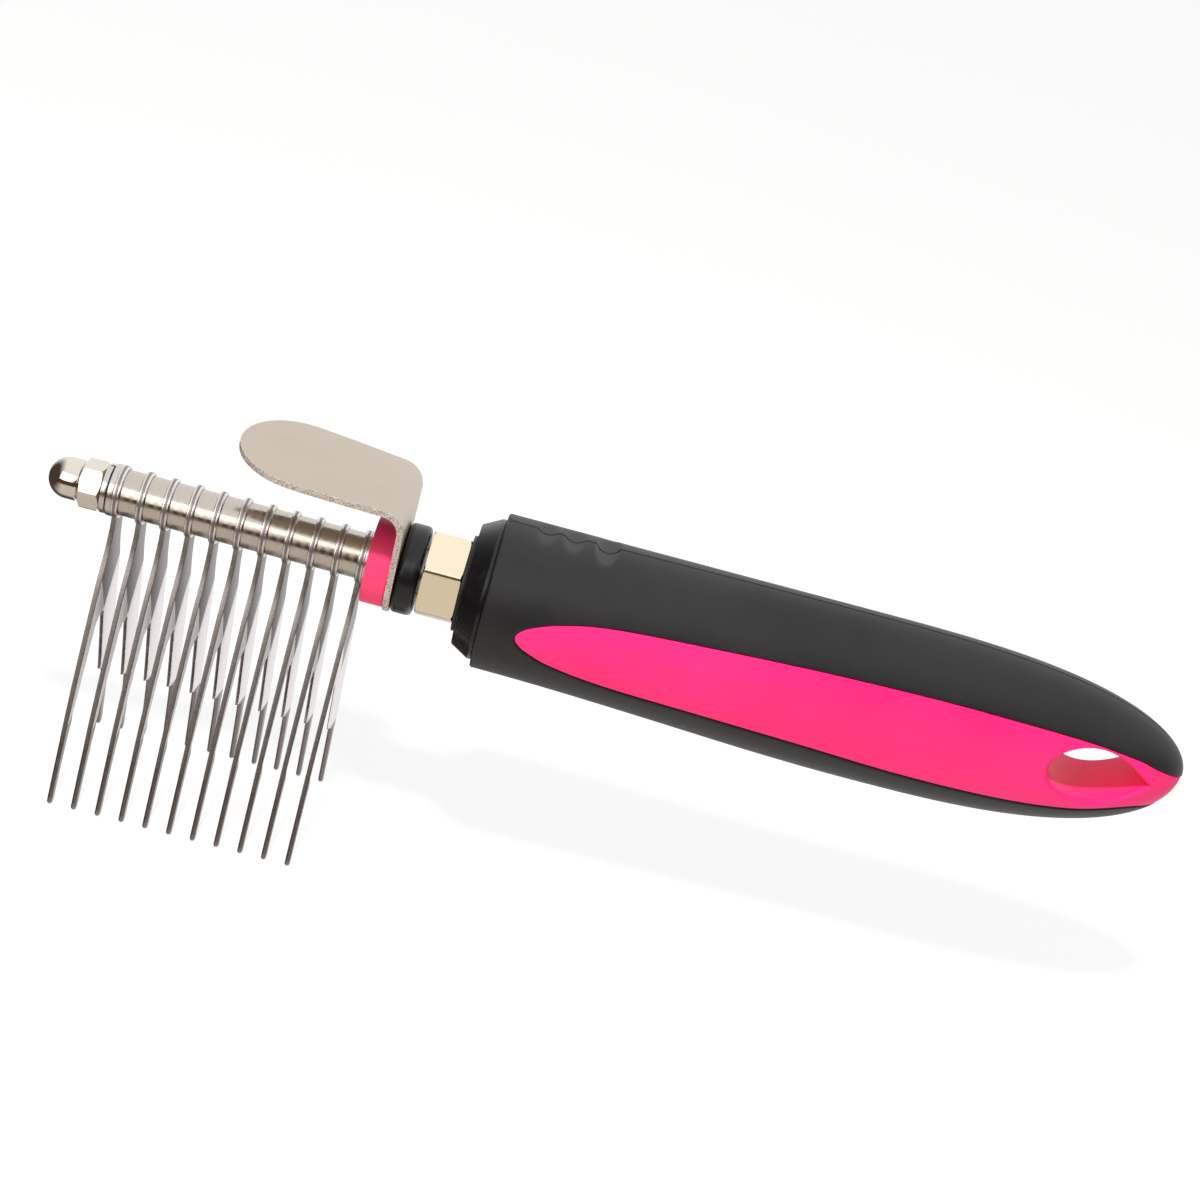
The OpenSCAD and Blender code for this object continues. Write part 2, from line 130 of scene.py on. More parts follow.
turned_brass, tree = blank("brass_turned")
surface(tree, tool_rings(tree, 1.0, 2.0), 0.2, 0.02 * MM,
        {"Base Color": linear("#C9A55C"), "Metallic": 1.0, "Roughness": 0.35})
dress("threaded_insert", turned_brass)

# ---------------------------------------------------------------------------------------------
# Handle core: a hard pink plastic moulding. Its two side panels and the end of its tail are bare,
# the rest lies under the soft grip, and the hanging hole goes right through it.

grip_low, grip_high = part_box("grip_sleeve")
FRONT_X = grip_low.x
HANDLE_L = grip_high.x - grip_low.x
FRONT_R = grip_high.y
GRIP_TOP = grip_high.z
GRIP_BELLY = -grip_low.z
GRIP_SIDE = 11.3 * MM
BELLY_X = 70 * MM       # the grip swells up to here, and draws in from here to the tail
TALL_POWER = 2.8        # how late its height draws in, and its width
FLAT_POWER = 4
TAIL_END = math.radians(89.3)
ACROSS = 13 * MM        # radius that turns an angle round the grip into a length
GAP = 0.16 * MM         # open joint between the panel and the soft grip
PANEL_SUNK = 0.15 * MM  # the panel lies this far below the grip's surface
LIP = 0.3 * MM          # rounding of both edges of that joint
NOSE_X = 6.5 * MM       # the panel's nose, from the front of the grip and from the rod
NOSE_Z = -1.0 * MM
PANEL_TOP = 6.8 * MM    # reach of its upper and lower edge from the rod
PANEL_LOW = 10.5 * MM
PAST_TAIL = 1.0 * MM    # its edges are drawn as if it ended this far past the tail
UNDERSIDE = 0.985       # share of the depth at which its lower edge has come under the belly
# Both edges from the nose to the tail, as shares of the panel's length and of the edge's reach.
TOP_LINE = [(0, 0), (0.0014, 0.1), (0.0065, 0.2), (0.02, 0.35), (0.06, 0.58), (0.13, 0.77), (0.27, 0.87),
            (0.57, 1), (0.72, 0.98), (0.83, 0.88), (0.905, 0.68), (0.94, 0.49), (1, 0.13)]
LOW_LINE = [(0, 0), (0.0014, 0.08), (0.0065, 0.16), (0.02, 0.28), (0.06, 0.48), (0.14, 0.66), (0.28, 0.79),
            (0.42, 0.9), (0.58, 1), (0.73, 0.97), (0.84, 0.83), (0.92, 0.56), (0.96, 0.53), (1, 0.53)]
LINE_STEPS = 8


def lerp(a, b, t):
    """The value a share t of the way from a to b."""
    return a + (b - a) * t


def smooth(t):
    """The share t, held between 0 and 1 and eased at both ends."""
    t = min(1.0, max(0.0, t))
    return t * t * (3 - 2 * t)


def grip_halves(x, inset=0.0):
    """Half width, height above and depth below the rod, x from the front face of the grip."""
    swell = smooth(x / BELLY_X)
    far = max(0.0, x - BELLY_X) / (HANDLE_L - inset - BELLY_X)
    tall = math.sqrt(max(0.0, 1 - far ** TALL_POWER))
    flat = math.sqrt(max(0.0, 1 - far ** FLAT_POWER))
    return ((lerp(FRONT_R, GRIP_SIDE, swell) - inset) * flat,
            (lerp(FRONT_R, GRIP_TOP, swell) - inset) * tall,
            (lerp(FRONT_R, GRIP_BELLY, swell) - inset) * tall)


def grip_x(u):
    """Distance from the front face: u is the length along the skin, which bunches up at the tail."""
    if u <= BELLY_X:
        return u
    return BELLY_X + (HANDLE_L - BELLY_X) * math.sin((u - BELLY_X) / (HANDLE_L - BELLY_X))


def grip_u(x):
    """The length along the skin for a distance from the front face."""
    if x <= BELLY_X:
        return x
    return BELLY_X + (HANDLE_L - BELLY_X) * math.asin(min(1.0, (x - BELLY_X) / (HANDLE_L - BELLY_X)))


U_END = BELLY_X + (HANDLE_L - BELLY_X) * TAIL_END


def grip_angle(x, z):
    """Angle round the grip of the far side's point at that height, from 0 on the side to 90 on top."""
    side, top, low = grip_halves(x)
    return math.asin(max(-1.0, min(1.0, z / (top if z > 0 else low))))


def on_grip(u, s, inset=0.0):
    """Point of the grip's form for a place (u, s) on its skin."""
    x = grip_x(u)
    angle = s / ACROSS
    side, top, low = grip_halves(x, inset)
    height = math.sin(angle)
    return Vector((FRONT_X + x, side * math.cos(angle), height * (top if height > 0 else low)))


def curve_through(points, steps):
    """A smooth line through the points, without its last one."""
    line = []
    for i in range(len(points) - 1):
        a, b = points[max(0, i - 1)], points[i]
        c, d = points[i + 1], points[min(len(points) - 1, i + 2)]
        for k in range(steps):
            t = k / steps
            line.append(tuple(
                0.5 * (2 * q + (r - p) * t + (2 * p - 5 * q + 4 * r - v) * t * t
                       + (3 * q - p - 3 * r + v) * t ** 3)
                for p, q, r, v in zip(a, b, c, d)))
    return line


def panel_line(shares, reach):
    """Upper or lower edge of the panel, seen from the side, from its nose towards the tail."""
    length = HANDLE_L + PAST_TAIL - NOSE_X
    points = [(NOSE_X + share * length, NOSE_Z + height * (reach - NOSE_Z)) for share, height in shares]
    return curve_through(points, LINE_STEPS)


def skin_line(shares, reach):
    """The same edge on the far side's skin, up to where it ends at the tail or under the belly."""
    line = []
    for x, z in panel_line(shares, reach):
        if x >= HANDLE_L:
            break
        side, top, low = grip_halves(x)
        if z < -UNDERSIDE * low:
            break
        line.append((grip_u(x), ACROSS * grip_angle(x, z)))
    return line


BOTTOM = -math.pi / 2 * ACROSS
top_edge = skin_line(TOP_LINE, PANEL_TOP)
low_edge = skin_line(LOW_LINE, -PANEL_LOW)

# Both lines end square: the upper one at the tail's end, the lower one where it meets its mirror
# image below the tail, which it does in a round turn.
TAIL_CLEAR = 0.6 * MM
TURN_L = 1.2 * MM
TURN_STEPS = 5
top_edge = [p for p in top_edge if p[0] < U_END - TAIL_CLEAR] + [(U_END, 0.0)]
turn_u, turn_s = low_edge[-1]
for i in range(1, TURN_STEPS + 1):
    swing = math.pi / 2 * i / TURN_STEPS
    low_edge.append((turn_u + TURN_L * math.sin(swing), BOTTOM + (turn_s - BOTTOM) * math.cos(swing)))
far_edge = top_edge[::-1] + low_edge[1:]
# far_edge runs from the tail's end forward along the top, round the nose and back under the belly


def shifted(line, offset):
    """The line moved sideways by offset, to the right of its course. A loop it makes is drawn shut."""
    reach = 16          # segments ahead in which a loop is looked for
    moved = []
    for i, (u, s) in enumerate(line):
        before, after = line[max(0, i - 1)], line[min(len(line) - 1, i + 1)]
        du, ds = after[0] - before[0], after[1] - before[1]
        if i == 0:
            du, ds = -1.0, 0.0
        if i == len(line) - 1:
            du, ds = 0.0, -1.0
        size = math.hypot(du, ds)
        moved.append((u + offset * ds / size, s - offset * du / size))
    for i in range(len(moved) - 2):
        for j in range(i + 2, min(i + reach, len(moved) - 1)):
            meet = intersect_line_line_2d(moved[i], moved[i + 1], moved[j], moved[j + 1])
            if meet:
                moved[i + 1:j + 1] = [tuple(meet)] * (j - i)
    return moved


def far_and_near(line, about):
    """A line on the far side's skin, then its mirror image on the near side run back again."""
    return line + [(u, 2 * about - s) for u, s in reversed(line)]


def fill(loops, inner, creases=()):
    """Triangles over a flat region: its outline and holes, points inside, and lines that edges follow."""
    points = [Vector(p) for loop in loops for p in loop] + [Vector(p) for line in creases for p in line]
    edges = []
    start = 0
    for loop in loops:
        edges += [(start + i, start + (i + 1) % len(loop)) for i in range(len(loop))]
        start += len(loop)
    for line in creases:
        edges += [(start + i, start + i + 1) for i in range(len(line) - 1)]
        start += len(line)
    places, _, faces, origin, _, _ = delaunay_2d_cdt(
        points + [Vector(p) for p in inner], edges, [], 1, 1e-9)
    index = [came[0] for came in origin]
    holes = []
    start = len(loops[0])
    for loop in loops[1:]:
        holes.append(range(start, start + len(loop)))
        start += len(loop)
    found = []
    for face in faces:
        corners = [index[i] for i in face]
        if not any(all(c in hole for c in corners) for hole in holes):
            found.append(corners)
    return found


def grown(points, more):
    """Adds more to the points, and gives the numbers that they have there."""
    start = len(points)
    points.extend(more)
    return list(range(start, len(points)))


def strip(first, second):
    """Quads between two closed rings of equally many vertices."""
    n = len(first)
    return [[first[i], first[(i + 1) % n], second[(i + 1) % n], second[i]] for i in range(n)]


def band(first, second):
    """Quads between two open rows of equally many vertices."""
    return [[first[i], first[i + 1], second[i + 1], second[i]] for i in range(len(first) - 1)]


SHARP_FROM = math.radians(38)


def build(name, points, faces, finishes, body, nodes, at=(0, 0, 0), merge=2e-6, face_finish=None):
    """Makes a piece from points and faces, dresses it, and lets it ride on its body."""
    mesh = bpy.data.meshes.new(name)
    mesh.from_pydata([tuple(p) for p in points], [], faces)
    for finish in finishes:
        mesh.materials.append(finish)
    if face_finish:
        mesh.polygons.foreach_set("material_index", face_finish)
    work = bmesh.new()
    work.from_mesh(mesh)
    bmesh.ops.remove_doubles(work, verts=work.verts, dist=merge)
    bmesh.ops.dissolve_degenerate(work, dist=merge / 2, edges=work.edges)
    bmesh.ops.recalc_face_normals(work, faces=work.faces)
    work.to_mesh(mesh)
    work.free()
    mesh.shade_smooth()
    mesh.set_sharp_from_angle(angle=SHARP_FROM)
    return place_piece(name, mesh, body, nodes, at)


def place_piece(name, mesh, body, nodes, at=(0, 0, 0)):
    """Puts a mesh in the scene as a piece that stands for its solids."""
    made = bpy.data.objects.new(name, mesh)
    made.location = at
    bpy.context.scene.collection.objects.link(made)
    even = made.modifiers.new("even_shading", "WEIGHTED_NORMAL")
    even.keep_sharp = True
    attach(made, body)
    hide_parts(*nodes)
    return made


# Hanging hole, seen from the side: round at the front, drawn out to a point at the tail. Each half
# of the mould tapers towards the middle of the handle, and its mouths are well rounded.
HOLE_L = 18.5 * MM
HOLE_H = 10.8 * MM
HOLE_DROP = 0.7 * MM    # its middle lies this far below the rod
HOLE_NOSE = 0.42        # share of its length in front of its greatest height
HOLE_POWER = 1.9        # how late it draws in to its point
HOLE_STEPS = 26
MOUTH_R = 1.1 * MM
MOUTH_STEPS = 5
DRAFT = 0.45 * MM       # it is this much narrower in the middle of the handle


def hole_ring(grow):
    """Outline of the hole, grown little at its top and more below, as (x, z) from its centre."""
    above, below = HOLE_H / 2 + 0.35 * grow, HOLE_H / 2 + 0.75 * grow
    nose = HOLE_L * HOLE_NOSE + grow
    point = HOLE_L * (1 - HOLE_NOSE) + grow * 1.2
    ring = []
    for i in range(HOLE_STEPS + 1):
        angle = math.radians(90 + 180 * i / HOLE_STEPS)
        height = math.sin(angle)
        ring.append((nose * math.cos(angle), height * (above if height > 0 else below)))
    for i in range(-HOLE_STEPS + 1, HOLE_STEPS):
        t = 1 - abs(i) / HOLE_STEPS
        ring.append((point * t, (1 - t ** HOLE_POWER) * (above if i > 0 else -below)))
    return [(x, z - HOLE_DROP) for x, z in ring]


HOLE_X = -FRONT_X
hole_mouth = hole_ring(MOUTH_R)

# Skin of the bare part, as places (u, s): the far panel lies about s = 0, the near one about
# s = -180 degrees, and they are joined under the tail.
rim = far_and_near(shifted(far_edge, -(GAP + LIP)), BOTTOM)
low_s = -math.pi * ACROSS
far_hole = [(grip_u(HOLE_X + x), ACROSS * grip_angle(HOLE_X + x, z)) for x, z in hole_mouth]
near_hole = [(u, low_s - s) for u, s in far_hole]


def grid_inside(u_steps, s_steps, keep):
    """The places of a grid that pass a test."""
    return [(u, s) for u in u_steps for s in s_steps if keep(u, s)]


def clear_of(points, distance):
    """A test that a place keeps its distance from the points."""
    cells = {}
    for u, s in points:
        cells.setdefault((round(u / distance), round(s / distance)), []).append((u, s))

    def test(u, s):
        a, b = round(u / distance), round(s / distance)
        return not any(
            math.hypot(u - p, s - q) < distance
            for i in (a - 1, a, a + 1) for j in (b - 1, b, b + 1) for p, q in cells.get((i, j), ()))
    return test


def inside(loop):
    """A test that a place lies inside a closed loop."""
    def test(u, s):
        found = False
        for (p, q), (r, t) in zip(loop, loop[1:] + loop[:1]):
            if (q > s) != (t > s) and u < (r - p) * (s - q) / (t - q) + p:
                found = not found
        return found
    return test


SKIN_STEP = 1.15 * MM
CORE_CLEAR = 0.55 * MM  # the grid of the skin keeps this distance from its edges
in_rim, off_rim = inside(rim), clear_of(rim, CORE_CLEAR)
in_far, in_near = inside(far_hole), inside(near_hole)
off_hole = clear_of(far_hole + near_hole, CORE_CLEAR)
u_steps = [i * SKIN_STEP for i in range(int(U_END / SKIN_STEP) + 1)]
s_steps = [-1.5 * math.pi * ACROSS + i * SKIN_STEP
           for i in range(int(2 * math.pi * ACROSS / SKIN_STEP) + 1)]
core_skin = grid_inside(u_steps, s_steps, lambda u, s: in_rim(u, s) and off_rim(u, s)
                        and off_hole(u, s) and not in_far(u, s) and not in_near(u, s))
faces = fill([rim, far_hole, near_hole], core_skin)
points = [on_grip(u, s, PANEL_SUNK) for u, s in rim + far_hole + near_hole + core_skin]

# Edge of the panel: a rounded lip that dives beside the soft grip, then a wall that joins the
# far side to the near one inside the handle.
ring = list(range(len(rim)))
for offset, depth in ((GAP + 0.12 * MM, 0.04 * MM), (GAP, 0.18 * MM), (GAP, 1.6 * MM)):
    line = far_and_near(shifted(far_edge, -offset), BOTTOM)
    new = grown(points, [on_grip(u, s, PANEL_SUNK + depth) for u, s in line])
    faces += strip(ring, new)
    ring = new
half = len(ring) // 2
for i in range(half - 1):
    faces.append([ring[i], ring[i + 1], ring[-2 - i], ring[-1 - i]])

# Wall of the hanging hole, from the far mouth to the near one.
hole_n = len(hole_mouth)
ring = list(range(len(rim), len(rim) + hole_n))
swings = [math.pi / 2 * i / MOUTH_STEPS for i in range(1, MOUTH_STEPS + 1)]
mouth = [(MOUTH_R * (1 - math.sin(swing)), MOUTH_R * (1 - math.cos(swing))) for swing in swings]
walls = [(grow, depth, 1) for grow, depth in mouth] + [(-DRAFT, 0.0, 0)]
walls += [(grow, depth, -1) for grow, depth in reversed(mouth)]
for grow, depth, facing in walls:
    new = grown(points, [Vector((x, facing * (abs(points[len(rim) + k].y) - depth), z))
                         for k, (x, z) in enumerate(hole_ring(grow))])
    faces += strip(ring, new)
    ring = new
faces += strip(ring, list(range(len(rim) + hole_n, len(rim) + 2 * hole_n)))

# ABS, moulded in a fine-sparked tool and dyed in the mass: an even, satin pink with a soft gloss.
SPARK_GRAIN = 0.35 * MM
DYE_DRIFT = 30 * MM


def noise(tree, step, detail, place=None, roughness=0.5):
    """Soft noise with features of about that step, fixed to the piece."""
    place = place or add(tree, "TexCoord").outputs["Object"]
    return add(tree, "TexNoise", {"Vector": place, "Scale": 1 / step, "Detail": detail,
                                  "Roughness": roughness}).outputs["Fac"]


def ramp(tree, value, *stops):
    """A colour that follows the value through stops, each a position and a colour."""
    made = add(tree, "ValToRGB", {"Fac": value})
    elements = made.color_ramp.elements
    elements[0].position = stops[0][0]
    elements[1].position = stops[-1][0]
    for position, _ in stops[1:-1]:
        elements.new(position)
    for element, (_, code) in zip(elements, stops):
        element.color = linear(code)
    return made.outputs["Color"]


def scaled(tree, value, came=(0.0, 1.0), goes=(0.0, 1.0)):
    """The value, with one range stretched to the other and cut off at its ends."""
    return add(tree, "MapRange", {"Value": value, "From Min": came[0], "From Max": came[1],
                                  "To Min": goes[0], "To Max": goes[1]}).outputs["Result"]


pink_abs, tree = blank("pink_abs_moulded")
grain = noise(tree, SPARK_GRAIN, 4.0)
surface(tree, grain, 0.12, 0.02 * MM, {
    "Base Color": ramp(tree, noise(tree, DYE_DRIFT, 2.0), (0.3, "#F3206E"), (0.7, "#F62A7A")),
    "Roughness": scaled(tree, grain, goes=(0.38, 0.5)), "IOR": 1.53, "Specular IOR Level": 0.22})
build("core_panels", points, faces, [pink_abs], "handle", ["handle_core"])

# ---------------------------------------------------------------------------------------------
# Grip: a soft black elastomer moulded over the core, with a seam along its top and bottom and
# three thumb grooves across the top. It ends in a square face against the bush.

SKIN_T = 2.0 * MM
CORE_X = 2.5 * MM       # the core begins this far behind the front face
LINED_X = 6 * MM        # the lining's places are drawn together in front of here
LINED_TAIL = 115 * MM   # and behind here, up to its end
LINED_END = 126.5 * MM
MOUTH_RADIUS = 9.7 * MM
FRONT_STEPS = 96
FRONT_EDGE = 0.3 * MM
SEAM_W = 0.3 * MM
SEAM_DEPTH = 0.35 * MM
GRIP_CLEAR = 0.5 * MM   # the grid of the skin keeps this distance from its edges
SEAM_CLEAR = 0.8 * MM   # and this one from the seam along the top
GROOVE_R = 2.6 * MM
GROOVE_DEPTH = 1.3 * MM
GROOVE_STEP = 0.3 * MM
GROOVE_REACH = 16 * MM  # the fine grid goes this far down both sides
GROOVE_LIP = 0.25 * MM
GROOVES = [(7.5 * MM, 0.6), (12.5 * MM, 0.7), (18.6 * MM, 1.0)]  # place, and share of the depth
TOP = math.pi / 2 * ACROSS


def worked_skin(u, s):
    """Outer face of the soft grip, with the seam and the grooves pressed into it."""
    point = on_grip(u, s)
    if point.z > 0:
        for x, share in GROOVES:
            away = point.x - FRONT_X - x
            if abs(away) < GROOVE_R:
                axis_z = FRONT_R + GROOVE_R - GROOVE_DEPTH * share
                floor = axis_z - math.sqrt(GROOVE_R ** 2 - away ** 2)
                blend = min(1.0, max(0.0, 0.5 + (floor - point.z) / (2 * GROOVE_LIP)))
                point.z = lerp(floor, point.z, blend) - GROOVE_LIP * blend * (1 - blend)
    off_seam = min(abs(s - TOP), abs(s - BOTTOM), abs(s - BOTTOM - 2 * math.pi * ACROSS))
    point.z -= math.copysign(SEAM_DEPTH * max(0.0, 1 - off_seam / SEAM_W), point.z)
    return point


def lining(u, s):
    """Inner face of the soft grip, which lies on the core."""
    x = grip_x(u)
    if x < LINED_X:
        x = lerp(CORE_X, LINED_X, x / LINED_X)
    if x > LINED_TAIL:
        x = lerp(LINED_TAIL, LINED_END, (x - LINED_TAIL) / (HANDLE_L - LINED_TAIL))
    return on_grip(grip_u(x), s, SKIN_T)


# Skin of the soft part, as places (u, s): the top lies about s = 90 degrees, and the bottom is
# cut open along the seam, where the two sides meet again.
bottom_u = far_edge[-1][0]


def soft_rim(offset):
    """Edge of the soft part against the panels, from under the belly round both noses and back."""
    line = shifted(far_edge, offset)
    near = [(u, math.pi * ACROSS - s) for u, s in line]
    return line[::-1], near


def soft_outline(offset):
    """Outline of the soft part, as its runs along the seam, the panels, the seam and the front."""
    far, near = soft_rim(offset)
    end_u = far[0][0]
    count = int(end_u / SKIN_STEP)
    front = [(0.0, BOTTOM + 2 * math.pi * ACROSS * i / FRONT_STEPS) for i in range(FRONT_STEPS + 1)]
    seam_far = [(end_u * i / count, BOTTOM) for i in range(1, count)]
    seam_near = [(end_u * (1 - i / count), BOTTOM + 2 * math.pi * ACROSS) for i in range(1, count)]
    return seam_far, far, near, seam_near, front


seam_far, far, near, seam_near, front = soft_outline(LIP)
loop = seam_far + far + near + seam_near + front[::-1]
in_loop, off_loop = inside(loop), clear_of(loop, GRIP_CLEAR)
groove_from, groove_to = GROOVES[0][0] - GROOVE_R, GROOVES[-1][0] + GROOVE_R
u_steps = [i * SKIN_STEP for i in range(int(U_END / SKIN_STEP) + 1)
           if not groove_from < i * SKIN_STEP < groove_to]
u_groove = [groove_from + i * GROOVE_STEP for i in range(int((groove_to - groove_from) / GROOVE_STEP) + 1)]
s_all = [BOTTOM + i * SKIN_STEP for i in range(int(2 * math.pi * ACROSS / SKIN_STEP) + 1)]
s_plain = [s for s in s_all if abs(s - TOP) > SEAM_CLEAR]
near_top = [s for s in s_plain if abs(s - TOP) < GROOVE_REACH]
seam_rows = [TOP + k * SEAM_W for k in (-2.5, -1, 0, 1, 2.5)]
bottom_rows = [BOTTOM + SEAM_W, BOTTOM + 2 * math.pi * ACROSS - SEAM_W]
seam_us = [u for u in u_steps + u_groove if 0.4 * MM < u < U_END - 0.5 * MM]
far_down = [s for s in s_plain if s not in near_top]


def off_edges(u, s):
    """A test that a place lies in the soft part, away from its edges."""
    return in_loop(u, s) and off_loop(u, s)


soft_skin = grid_inside(u_steps, s_plain, off_edges)
soft_skin += grid_inside(u_groove, near_top, off_edges)
soft_skin += grid_inside(u_groove[::4], far_down, off_edges)
soft_skin += grid_inside(seam_us, seam_rows, in_loop)
soft_skin += grid_inside([u for u in seam_us if u < bottom_u - 2 * MM], bottom_rows, in_loop)
faces = fill([loop], soft_skin)
places = loop + soft_skin
n = len(places)
points = [worked_skin(u, s) for u, s in places] + [lining(u, s) for u, s in places]
faces += [[n + i for i in reversed(face)] for face in faces]

# Rounded lip beside the panels, from the outer face over to the inner one.
first = len(seam_far)
ring = list(range(first, first + len(far) + len(near)))
bottom_ring = [n + i for i in ring]
for offset, depth in ((0.13 * MM, 0.04 * MM), (0.0, 0.2 * MM)):
    new_far, new_near = soft_rim(offset)
    new = grown(points, [on_grip(u, s, depth) for u, s in new_far + new_near])
    faces += band(ring, new)
    ring = new
faces += band(ring, bottom_ring)

# Front face: an edge rounding, the square face, and the mouth that takes the bush's spigot.
first = len(loop) - len(front)
ring = list(range(first, len(loop)))
bottom_ring = [n + i for i in ring]
for x, radius in ((0.0, FRONT_R - FRONT_EDGE), (0.0, MOUTH_RADIUS), (CORE_X, MOUTH_RADIUS)):
    new = grown(points, [
        Vector((FRONT_X + x, radius * math.cos(s / ACROSS), radius * math.sin(s / ACROSS)))
        for _, s in front[::-1]])
    faces += band(ring, new)
    ring = new
faces += band(ring, bottom_ring)
for k in range(first, len(loop)):
    points[k].x += FRONT_EDGE

# Thermoplastic rubber, moulded in a fine-blasted tool: dull black, a little paler where the grain
# is rubbed, with a few specks of dust caught in it.
BLAST_GRAIN = 0.25 * MM
RUB_STEP = 14 * MM
SPECK_STEP = 9 * MM


def mixed(tree, share, first, second):
    """The first colour going over to the second."""
    return add(tree, "Mix", {"Factor": share, "A": first, "B": second},
               data_type="RGBA").outputs["Result"]


soft_rubber, tree = blank("black_rubber_moulded")
rubbed = noise(tree, RUB_STEP, 4.0)
dust = add(tree, "TexVoronoi", {"Vector": add(tree, "TexCoord").outputs["Object"],
                                "Scale": 1 / SPECK_STEP}).outputs["Distance"]
surface(tree, noise(tree, BLAST_GRAIN, 5.0), 0.35, 0.03 * MM, {
    "Base Color": mixed(tree, scaled(tree, dust, (0.012, 0.03), (0.55, 0.0)),
                        ramp(tree, rubbed, (0.35, "#121215"), (0.7, "#1C1C1D")), linear("#B8B4AE")),
    "Roughness": scaled(tree, rubbed, goes=(0.44, 0.56)), "IOR": 1.5,
    "Sheen Weight": 0.03, "Sheen Roughness": 0.5})
build("soft_grip", points, faces, [soft_rubber], "handle", ["grip_sleeve"])

# ---------------------------------------------------------------------------------------------
# End bush: a glossy black acetal turning with a chamfered flange and a spigot in the grip's mouth.

TURNED_STEPS = 96


def rounded(corners, radius, steps=4):
    """A closed outline with every corner rounded."""
    outline = []
    for i, corner in enumerate(corners):
        at = Vector(corner)
        back, on = Vector(corners[i - 1]) - at, Vector(corners[(i + 1) % len(corners)]) - at
        angle = back.angle(on)
        cut = min(radius / math.tan(angle / 2), 0.45 * back.length, 0.45 * on.length)
        start, end = at + back.normalized() * cut, at + on.normalized() * cut
        for k in range(steps + 1):
            t = k / steps
            outline.append(start * (1 - t) ** 2 + at * 2 * t * (1 - t) + end * t ** 2)
    return outline


def tube(low, high, bore, radius, steps=4):
    """Outline of a plain ring that fills a solid's box, with its edges rounded."""
    return rounded([(low.x, bore), (low.x, high.y), (high.x, high.y), (high.x, bore)], radius, steps)


def swung(outline, angle):
    """Points of an outline, as (x, radius), at an angle about the rod."""
    return [(x, r * math.cos(angle), r * math.sin(angle)) for x, r in outline]


def wall(here, there, n):
    """Quads between two closed columns of n vertices, numbered from here and from there."""
    return [[here + i, there + i, there + (i + 1) % n, here + (i + 1) % n] for i in range(n)]


def turned(name, outline, finish, body, nodes, at=(0, 0, 0)):
    """A turned piece: its outline as (x, radius), going round once about the rod."""
    points, faces = [], []
    n = len(outline)
    for k in range(TURNED_STEPS):
        points += swung(outline, 2 * math.pi * k / TURNED_STEPS)
        faces += wall(k * n, (k + 1) % TURNED_STEPS * n, n)
    return build(name, points, faces, [finish], body, nodes, at)


bush_low, bush_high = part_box("end_bush")
BUSH_RIM_L = 0.8 * MM
BUSH_CHAMFER = 1.9 * MM
BORE_R = 4.1 * MM
SPIGOT_R = 9.6 * MM
bush_r = bush_high.y
bush = rounded([
    (bush_low.x, BORE_R), (bush_low.x, bush_r - BUSH_CHAMFER), (FRONT_X - BUSH_RIM_L, bush_r),
    (FRONT_X, bush_r), (FRONT_X, SPIGOT_R), (bush_high.x, SPIGOT_R), (bush_high.x, BORE_R)],
    0.25 * MM)

# Acetal, turned and polished: deep black, glossy, with faint handling marks.
black_acetal, tree = blank("black_acetal_polished")
marks = noise(tree, 1.2 * MM, 6.0, roughness=0.65)
surface(tree, marks, 0.25, 0.03 * MM, {
    "Base Color": linear("#0A0A0D"), "Roughness": scaled(tree, marks, (0.35, 0.7), (0.2, 0.34)),
    "IOR": 1.48})
turned("chamfered_bush", bush, black_acetal, "handle", ["end_bush"])

# ---------------------------------------------------------------------------------------------
# Sealing ring: a thin black rubber washer between the lock nut and the bush.

NECK_BORE = 4.05 * MM   # all that sits on the rod's neck has this bore
ring_low, ring_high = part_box("sealing_ring")
dull_rubber, tree = blank("black_rubber_cut")
surface(tree, noise(tree, BLAST_GRAIN, 3.0), 0.3, 0.02 * MM,
        {"Base Color": linear("#17171A"), "Roughness": 0.45, "IOR": 1.5})
turned("neck_seal", tube(ring_low, ring_high, NECK_BORE, 0.2 * MM), dull_rubber,
       "sealing_ring", ["sealing_ring"])

# ---------------------------------------------------------------------------------------------
# Lock nut: a long hexagon of pale bright brass, its corners rounded and chamfered at both ends.

NUT_CHAMFER = math.tan(math.radians(30))
NUT_EDGE = 0.12 * MM    # rounding of the edges of its ends
NUT_FACE = 0.03 * MM    # the end faces are at least this much smaller than the hexagon
CAP_BLIND = 3 * MM      # depth of the thread in a closed nut
# Columns of one facet, as angles from its middle: they bunch up where its corners are rounded.
FACET = (-30, -28.6, -27.2, -25.8, -24, -16, -8, 0, 8, 16, 24, 25.8, 27.2, 28.6)


def facet_radius(swing, half, corner):
    """Radius of a hexagon with rounded corners at an angle from the middle of a facet."""
    if abs(math.tan(swing)) <= (half - corner) / half * math.tan(math.pi / 6):
        return half / math.cos(swing)
    centre = (half - corner) / math.cos(math.pi / 6)
    off = math.pi / 6 - abs(swing)
    return centre * math.cos(off) + math.sqrt(corner ** 2 - (centre * math.sin(off)) ** 2)


